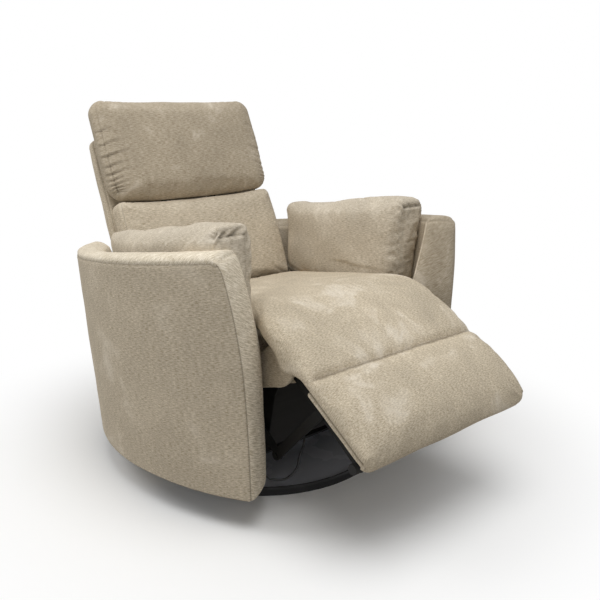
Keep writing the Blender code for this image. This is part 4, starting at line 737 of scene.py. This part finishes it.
def back_pad(
    name, paint, low, high, half, front, rear, radius, seed,
    crown=0.0, foot_droop=0.0, top_droop=0.0, lean=0.0, pleats=(), fine=0.004,
):
    """A pad of the back: its ends up the back, half its width, its front and rear, the radius
    of its edges, how far its foam crowns and its ends droop, how far its rear leans in at
    the top, its pleats, and the step of its grid at the edges."""
    length, thick = high - low, rear - front
    along = ticks(length, fine, 1.6 * fine, 0.05)
    across = ticks(2.0 * half, fine, 0.008, 0.08) - half
    grid, faces, sides = block(along, across, ticks(thick, 0.005, 0.008, 0.02))
    soft = round_off(grid, (0.0, -half, 0.0), (length, half, thick), radius)
    rise = np.clip(soft[:, 0] / length, 0.0, 1.0)
    spread = 1.0 - (soft[:, 1] / half) ** 2
    ahead = np.clip(soft[:, 2] / thick, 0.0, 1.0)
    soft[:, 2] += crown * np.sin(math.pi * rise) * (0.35 + 0.65 * spread) * ahead
    soft[:, 1] *= 1.0 + crown * 2.0 * np.sin(math.pi * rise)
    soft[:, 0] -= spread * (foot_droop * (1.0 - rise) ** 2 + top_droop * rise**2)
    behind = rear - soft[:, 2] - lean * rise * (1.0 - ahead)
    points = back_place(low + soft[:, 0], soft[:, 1], behind)
    faces = faced(points, faces)
    piece = sew(name, points, faces, cloth_map(grid, faces, sides), [paint])
    shape = points
    if crown > 0.0:
        pinned = (ahead < 0.5) | (np.abs(grid[:, 1]) > half - 0.004)
        shape = stuff(piece, pinned, 4.0, 0.010, 0.010)
    normals = outward(shape, faces)
    inward = half - np.abs(grid[:, 1])
    front_edge = thick - grid[:, 2]
    seam = np.hypot(inward, front_edge)
    rear_seam = np.hypot(inward, grid[:, 2])
    move = ripple(shape, 0.09, 0.0022, seed) - 0.0026 * dip(seam, 0.005)
    # Painted shade along the front and rear seams, lighter where the pad is pleated.
    painted_shade = (0.22 if pleats else 0.4) * dip(seam, 0.0024) + 0.4 * dip(rear_seam, 0.003)
    on_front = np.clip(2.2 * ahead - 1.2, 0.0, 1.0)
    by_side = np.where(grid[:, 1] < 0.0, 1.0, FAINT_SIDE)
    for where, reach, deep in pleats:
        line = grid[:, 0] - where - 0.20 * inward
        fade = dip(inward, 0.95 * reach) * on_front * by_side
        move -= 1.5 * deep * fade * (dip(line, 0.0030) - 0.6 * dip(line - 0.0064, 0.0040))
        # Painted shade down each pleat.
        painted_shade += 0.95 * fade * dip(line, 0.0022)
    mark(piece, shape + normals * move[:, None], painted_shade)
    return piece


lumbar = back_pad(
    "lumbar_pad", body_cloth, low=-0.006, high=0.298, half=0.277, front=0.002, rear=0.0745,
    radius=(0.022, 0.022, 0.024), seed=5.0, crown=0.008, top_droop=0.008,
)
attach(lumbar, "back")
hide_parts("lumbar_cushion")
# The head pad takes the darker copy of the cloth, painted shade.
head = back_pad(
    "head_pad", shaded_cloth, low=0.3035, high=0.609, half=0.284, front=0.004, rear=0.066,
    radius=(0.044, 0.042, 0.026), seed=6.0, crown=0.006, foot_droop=0.008, pleats=PLEATS, fine=0.0024,
)
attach(head, "headrest")
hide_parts("head_cushion")
shell = back_pad(
    "back_cover", body_cloth, low=-0.006, high=0.510, half=0.280, front=0.076, rear=0.140,
    radius=(0.022, 0.020, 0.020), seed=7.0, lean=0.032,
)
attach(shell, "back")
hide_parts("back_shell")


# Arm pillows: loose boxed cushions filled with fibre, standing on the side decks. Their
# front panels are set in with a twin-stitched seam and gathered at the corners.

PILLOW_THICK, PILLOW_TALL = 0.118, 0.290
PILLOW_REAR_Y = 0.255
PILLOW_FOOT, PILLOW_TOP = 0.4312, 0.728
PILLOW_INNER, PILLOW_OUTER = 0.2670, 0.390
PANEL_INSET = 0.022
TWIN_GAP = 0.0065

# Each pillow's side, its sign along x, the y of its front, the radius of its ends, how far its
# top falls to the rear and its foot is tucked in, and its gathers: their depth, their least
# share away from the corners and their spacing.
PILLOWS = (
    ("left", 1.0, -0.264, 0.036, 0.060, 0.024, 0.0060, 0.65, 0.024),
    ("right", -1.0, -0.306, 0.026, 0.086, 0.0, 0.0095, 0.2, 0.038),
)

for side, sign, front_y, end_round, fall, tuck, gathered, least, apart in PILLOWS:
    length = PILLOW_REAR_Y - front_y
    along = ticks(length, 0.004, 0.0075, 0.05)
    across = ticks(PILLOW_THICK, 0.005, 0.008, 0.03)
    grid, faces, sides = block(along, across, ticks(PILLOW_TALL, 0.004, 0.0052, 0.04))
    high = (length, PILLOW_THICK, PILLOW_TALL)
    soft = round_off(grid, (0.0, 0.0, 0.0), high, (end_round, end_round, 0.036))
    run = soft[:, 0] / length
    body = np.sqrt(np.sin(math.pi * np.clip(run, 0.0, 1.0)))
    waist = np.sqrt(np.sin(math.pi * np.clip(soft[:, 2] / PILLOW_TALL, 0.0, 1.0)))
    depth = 0.5 + (soft[:, 1] / PILLOW_THICK - 0.5) * (0.90 + 0.08 * body * waist)
    y = front_y + length * run
    top = PILLOW_TOP - fall * run + 0.004 * np.sin(2.0 * math.pi * run)
    z = PILLOW_FOOT + (top - PILLOW_FOOT) * soft[:, 2] / PILLOW_TALL
    inner = PILLOW_INNER + 0.016 * np.clip((run - 0.4) * 1.7, 0.0, 1.0)
    low = np.clip((z - 0.43) / 0.3, 0.0, 1.0)
    y = y + tuck * (1.0 - low) ** 1.5 * (1.0 - run) ** 2
    outer = PILLOW_OUTER - 0.012 * (1.0 - low) - 0.10 * np.clip(run - 0.55, 0.0, 1.0) ** 1.3
    points = np.stack([(inner + (outer - inner) * depth) * sign, y, z], 1)
    faces = faced(points, faces)
    cloth_places = cloth_map(grid, faces, sides, swap=(2, 3))
    pillow = sew("pillow_cover_" + side, points, faces, cloth_places, [pillow_cloth])

    edge_b = np.minimum(grid[:, 1], PILLOW_THICK - grid[:, 1])
    edge_c = np.minimum(grid[:, 2], PILLOW_TALL - grid[:, 2])
    inset = np.where(grid[:, 0] < 1e-6, np.minimum(edge_b, edge_c), -grid[:, 0])
    panel = np.abs(inset - PANEL_INSET)
    foot = grid[:, 2] < 0.012
    blown = stuff(pillow, foot | (panel < 0.004), 4.0, 0.035, 0.009)
    inner_limit = np.where(blown[:, 2] < 0.52, 0.2645, 0.2580)
    blown[:, 0] = sign * np.maximum(blown[:, 0] * sign, inner_limit)
    normals = outward(blown, faces)
    round_way = grid[:, 1] + grid[:, 2]
    wave = 0.5 + 0.5 * np.sin(round_way * 2.0 * math.pi / apart + 2.0 * np.sin(round_way * 33.0))
    corner = dip(PILLOW_TALL - grid[:, 2], 0.055) + 0.7 * dip(grid[:, 2], 0.05)
    reach = np.clip(PANEL_INSET - inset, 0.0, 1.0)
    outside = inset < PANEL_INSET
    gathers = gathered * wave * dip(reach, 0.038) * np.clip(corner, least, 1.0) * outside
    seam_cut = 0.0032 * dip(panel, 0.0045)
    lumps = ripple(blown, 0.085, 0.0042, 8.0 + sign) + ripple(blown, 0.035, 0.0010, 2.0)
    move = lumps - gathers - seam_cut
    # Painted shade in the gathered folds near the corners.
    fold_shade = wave**3 * dip(reach, 0.028) * np.clip(corner, 0.5 * least, 1.0) * outside
    twin = dip(panel - TWIN_GAP, 0.0014) * (inset > PANEL_INSET)
    # Painted shade along the panel seam, its twin stitching and the gathered folds.
    mark(pillow, blown + normals * move[:, None], 0.5 * dip(panel, 0.0024) + 0.25 * twin + 0.4 * fold_shade)
    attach(pillow, "pillow_" + side)
    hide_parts("pillow_" + side)


# Seat box and knee roll: plywood panels and a half-round board, each wrapped in the same
# cloth with a thin wadding under it and stapled out of sight. Their corners are soft.


def board_copy(node_name, name, softness, paint, cut=None):
    """A CAD board's merged shape with its corners softened by this radius. Cut is a place and
    a direction, and what lies past that plane is trimmed off."""
    data = bpy.data.meshes.new(name)
    shape = bmesh.new()
    shape.from_mesh(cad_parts[node_name].data)
    bmesh.ops.remove_doubles(shape, verts=shape.verts, dist=0.00005)
    flat = math.radians(2.0)
    bmesh.ops.dissolve_limit(shape, angle_limit=flat, verts=shape.verts, edges=shape.edges)
    if cut is not None:
        whole = [*shape.verts, *shape.edges, *shape.faces]
        place, way = cut
        bmesh.ops.bisect_plane(shape, geom=whole, plane_co=place, plane_no=way, clear_outer=True)
        bmesh.ops.holes_fill(shape, edges=shape.edges)
    bmesh.ops.recalc_face_normals(shape, faces=shape.faces)
    shape.to_mesh(data)
    shape.free()
    cover = bpy.data.objects.new(name, data)
    bpy.context.scene.collection.objects.link(cover)
    bpy.ops.object.select_all(action="DESELECT")
    cover.select_set(True)
    bpy.context.view_layer.objects.active = cover
    bevel = cover.modifiers.new("softened", "BEVEL")
    bevel.width = softness
    bevel.segments = 3
    bevel.limit_method = "ANGLE"
    bevel.angle_limit = math.radians(40.0)
    bpy.ops.object.modifier_apply(modifier="softened")
    data = cover.data
    data.shade_smooth()
    bpy.ops.object.shade_smooth_by_angle(angle=math.radians(30.0))
    layer = data.uv_layers.new(name=CLOTH)
    for face in data.polygons:
        widest = int(np.argmax(np.abs(np.array(face.normal))))
        first, second = ((1, 2), (0, 2), (0, 1))[widest]
        for corner in face.loop_indices:
            place = data.vertices[data.loops[corner].vertex_index].co
            layer.data[corner].uv = (place[first], place[second])
    data.attributes.new(PAINTED_SHADE, "FLOAT", "POINT")
    data.materials.clear()
    data.materials.append(paint)
    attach(cover, "carriage")
    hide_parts(node_name)
    return cover


for node_name in ("seat_side_panel_left", "seat_side_panel_right", "rear_panel", "front_roll"):
    cover = board_copy(node_name, node_name + "_cover", 0.005, body_cloth)


# Swivel base: a pressed steel disc painted slate grey and baked, with a black plastic trim
# ring snapped over its edge so that it doesn't mark the floor.


def coat(tree, shader, colours, rough, relief, patterns):
    """Gives a shader two colours, a range of roughness and a relief, which is its strength
    and its depth in metres. Each of the three follows one of the patterns."""
    colour_by, rough_by, relief_by = patterns
    settings = {"data_type": "RGBA", 6: srgb(colours[0]), 7: srgb(colours[1])}
    tone = add(tree, "ShaderNodeMix", settings, {0: colour_by})
    tree.links.new(tone.outputs[2], shader.inputs["Base Color"])
    dull = add(tree, "ShaderNodeMapRange", rough, {"Value": rough_by})
    tree.links.new(dull.outputs[0], shader.inputs["Roughness"])
    settings = {"Strength": relief[0], "Distance": relief[1]}
    bump = add(tree, "ShaderNodeBump", settings, {"Height": relief_by})
    tree.links.new(bump.outputs[0], shader.inputs["Normal"])


def paint_nodes(paint, *names):
    """Gives CAD nodes their finish."""
    for name in names:
        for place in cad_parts[name].material_slots:
            place.material = paint


# Baked satin enamel on pressed steel: a soft even gloss with a slight orange peel, and a few
# dull rubbed places where shoes touch it.
enamel, tree, shader, point = material("slate_grey_baked_enamel")
settings = {"Scale": 9.0, "Detail": 5.0, "Roughness": 0.6}
rubs = add(tree, "ShaderNodeTexNoise", settings, {"Vector": point})
# Orange peel is about 1.5 mm from crest to crest.
peel = add(tree, "ShaderNodeTexNoise", {"Scale": 650.0, "Detail": 1.0}, {"Vector": point})
rough = {"From Min": 0.4, "From Max": 0.7, "To Min": 0.2, "To Max": 0.36}
patterns = (rubs.outputs["Fac"], rubs.outputs["Fac"], peel.outputs["Fac"])
coat(tree, shader, ("#a3a6af", "#b4b7bf"), rough, (0.15, 0.0002), patterns)
paint_nodes(enamel, "base_plate")

# Moulded polypropylene: a dull black skin with a fine spark-eroded grain, greyer where it has
# been scuffed. The 0.3 mm grain is drawn at 1 mm.
trim, tree, shader, point = material("black_moulded_polypropylene")
settings = {"Scale": 26.0, "Detail": 4.0, "Roughness": 0.7}
scuffs = add(tree, "ShaderNodeTexNoise", settings, {"Vector": point})
settings = {"From Min": 0.45, "From Max": 0.75}
spread = add(tree, "ShaderNodeMapRange", settings, {"Value": scuffs.outputs["Fac"]})
grain = add(tree, "ShaderNodeTexNoise", {"Scale": 1000.0, "Detail": 1.0}, {"Vector": point})
patterns = (spread.outputs[0], scuffs.outputs["Fac"], grain.outputs["Fac"])
rough = {"To Min": 0.48, "To Max": 0.66}
coat(tree, shader, ("#141415", "#242425"), rough, (0.3, 0.0003), patterns)
shader.inputs["IOR"].default_value = 1.49
paint_nodes(trim, "base_rim")


# Swivel bearing and torque tube: pressed and drawn steel, zinc plated and left bare, greased
# at the races, held by one nut through the middle of the base.

# Bright zinc plate: a pale grey metal with a cloudy spangle a few millimetres across, faintly
# yellow and blue from its chromate dip.
zinc, tree, shader, point = material("zinc_plated_steel")
spangle = add(tree, "ShaderNodeTexVoronoi", {"Scale": 220.0}, {"Vector": point})
settings = {"Scale": 40.0, "Detail": 4.0, "Roughness": 0.6}
dip_stain = add(tree, "ShaderNodeTexNoise", settings, {"Vector": point})
patterns = (dip_stain.outputs["Fac"], spangle.outputs["Distance"], dip_stain.outputs["Fac"])
rough = {"To Min": 0.24, "To Max": 0.44}
coat(tree, shader, ("#a9adb3", "#bdb9a6"), rough, (0.1, 0.0002), patterns)
shader.inputs["Metallic"].default_value = 1.0
paint_nodes(zinc, "bearing_lower_race", "bearing_upper_race", "swivel_nut", "torque_tube")


# Glide, footrest and back linkage: bars and plates blanked from 4 to 6 mm steel, riveted at
# their pivots, the turntable and frame plates bolted above the bearing, and the motor's tube.

# Black powder coat: a satin skin with a fine pebble about 1 mm across, drawn at 2 mm, and
# thinner, duller patches.
powder, tree, shader, point = material("black_powder_coated_steel")
settings = {"Scale": 18.0, "Detail": 5.0, "Roughness": 0.65}
patches = add(tree, "ShaderNodeTexNoise", settings, {"Vector": point})
pebble = add(tree, "ShaderNodeTexNoise", {"Scale": 500.0, "Detail": 1.0}, {"Vector": point})
patterns = (patches.outputs["Fac"], patches.outputs["Fac"], pebble.outputs["Fac"])
rough = {"From Min": 0.35, "From Max": 0.7, "To Min": 0.46, "To Max": 0.64}
coat(tree, shader, ("#070808", "#111213"), rough, (0.25, 0.0003), patterns)
shader.inputs["Specular IOR Level"].default_value = 0.35
paint_nodes(powder, "turntable_plate", "cross_tube_front", "cross_tube_rear", "drive_motor")
for side in ("left", "right"):
    paint_nodes(powder, "side_plate_" + side, "hanger_" + side, "back_bracket_" + side)
    paint_nodes(powder, "glide_link_front_" + side, "glide_link_rear_" + side)
    paint_nodes(powder, "footrest_arm_" + side, "ottoman_crank_" + side, "ottoman_rail_" + side)
    paint_nodes(powder, "head_hinge_" + side)


# Frame boards: nine-ply birch for the seat deck and the side decks under the pillows, left
# bare because the cushions cover them.

# Birch plywood: pale long-grained faces with brown flecks, and its plies as stripes 1.5 mm
# thick on every sawn edge, drawn at 3 mm.
birch, tree, shader, point = material("birch_plywood")
stretch = add(tree, "ShaderNodeMapping", {"Scale": (60.0, 4.0, 60.0)}, {"Vector": point})
settings = {"Scale": 1.0, "Detail": 6.0, "Roughness": 0.6, "Distortion": 0.4}
figure = add(tree, "ShaderNodeTexNoise", settings, {"Vector": stretch.outputs[0]})
settings = {"data_type": "RGBA", 6: srgb("#b08d62"), 7: srgb("#d9bd92")}
face_tone = add(tree, "ShaderNodeMix", settings, {0: figure.outputs["Fac"]})
settings = {"bands_direction": "Z", "Scale": 52.0, "Distortion": 0.6, "Detail": 2.0}
plies = add(tree, "ShaderNodeTexWave", settings, {"Vector": point})
settings = {"data_type": "RGBA", 6: srgb("#8a6640"), 7: srgb("#cfae7f")}
edge_tone = add(tree, "ShaderNodeMix", settings, {0: plies.outputs["Fac"]})
facing = add(tree, "ShaderNodeNewGeometry", {})
split = add(tree, "ShaderNodeSeparateXYZ", {}, {0: facing.outputs["Normal"]})
flat_face = add(tree, "ShaderNodeMath", {"operation": "ABSOLUTE"}, {0: split.outputs["Z"]})
tone = add(
    tree,
    "ShaderNodeMix",
    {"data_type": "RGBA"},
    {0: flat_face.outputs[0], 6: edge_tone.outputs[2], 7: face_tone.outputs[2]},
)
tree.links.new(tone.outputs[2], shader.inputs["Base Color"])
gloss = add(tree, "ShaderNodeMapRange", {"To Min": 0.6, "To Max": 0.8}, {"Value": figure.outputs["Fac"]})
tree.links.new(gloss.outputs[0], shader.inputs["Roughness"])
bump = add(tree, "ShaderNodeBump", {"Strength": 0.2, "Distance": 0.0004}, {"Height": figure.outputs["Fac"]})
tree.links.new(bump.outputs[0], shader.inputs["Normal"])
paint_nodes(birch, "seat_deck", "side_deck_left", "side_deck_right")


# Hidden frame boards: the front rail, the arm feet and the head board, sawn from the same
# ply, stained black so that they don't show in the gaps.

# Black water stain on ply: nearly black, dull, with the grain still faintly raised.
stained, tree, shader, point = material("black_stained_plywood")
stretch = add(tree, "ShaderNodeMapping", {"Scale": (6.0, 60.0, 90.0)}, {"Vector": point})
settings = {"Scale": 1.0, "Detail": 5.0, "Roughness": 0.6}
figure = add(tree, "ShaderNodeTexNoise", settings, {"Vector": stretch.outputs[0]})
rough = {"To Min": 0.62, "To Max": 0.85}
coat(tree, shader, ("#0b0a0a", "#1a1816"), rough, (0.3, 0.0005), (figure.outputs["Fac"],) * 3)
paint_nodes(stained, "front_rail", "head_board")

# The arm feet stop a little behind the padded front of the arm. The cut runs through two
# points of the arm's plan, one on its outer face and one deeper in.
FOOT_SET_BACK = 0.008
PAST_WALL = 0.13

for side, sign in (("left", 1.0), ("right", -1.0)):
    corners = arm_place(FOOT_SET_BACK / ARM_RUN, np.array([0.0, PAST_WALL]), SKIRT_Z)
    (near_x, far_x), (near_y, far_y) = corners
    facing = (sign * (near_y - far_y), far_x - near_x, 0.0)
    cut = ((sign * near_x, near_y, 0.0), facing)
    foot = board_copy("arm_base_" + side, "arm_foot_" + side, 0.0015, stained, cut)


# Motor gearbox, footrest stops and supply lead: a moulded gear housing bolted to the motor, two
# rubber buffers pushed on studs, and a round lead clamped by a gland at each end.

# Glass-filled nylon: black, with a faintly streaked, drier skin than plain plastic.
nylon, tree, shader, point = material("glass_filled_nylon")
stretch = add(tree, "ShaderNodeMapping", {"Scale": (300.0, 60.0, 300.0)}, {"Vector": point})
streaks = add(tree, "ShaderNodeTexNoise", {"Scale": 1.0, "Detail": 3.0}, {"Vector": stretch.outputs[0]})
rough = {"To Min": 0.42, "To Max": 0.62}
coat(tree, shader, ("#1b1b1c", "#2d2d2e"), rough, (0.15, 0.0003), (streaks.outputs["Fac"],) * 3)
shader.inputs["IOR"].default_value = 1.53
paint_nodes(nylon, "motor_gearbox", "lead_gland_rail", "lead_gland_arm")

# Natural rubber, moulded: dead black, matt, with a grey bloom in patches.
rubber, tree, shader, point = material("black_moulded_rubber")
settings = {"Scale": 60.0, "Detail": 4.0, "Roughness": 0.7}
bloom = add(tree, "ShaderNodeTexNoise", settings, {"Vector": point})
rough = {"To Min": 0.72, "To Max": 0.92}
coat(tree, shader, ("#121212", "#2b2a29"), rough, (0.2, 0.0003), (bloom.outputs["Fac"],) * 3)
paint_nodes(rubber, "footrest_stop_left", "footrest_stop_right")

# Extruded PVC sheath: black, smoother and a little shinier than the mouldings, with a slight
# waviness along it from the wires inside.
sheath, tree, shader, point = material("black_pvc_sheath")
settings = {"Scale": 90.0, "Detail": 3.0, "Roughness": 0.5}
lay = add(tree, "ShaderNodeTexNoise", settings, {"Vector": point})
rough = {"To Min": 0.34, "To Max": 0.5}
coat(tree, shader, ("#131314", "#202021"), rough, (0.2, 0.0004), (lay.outputs["Fac"],) * 3)
shader.inputs["IOR"].default_value = 1.52
paint_nodes(sheath, "lead")
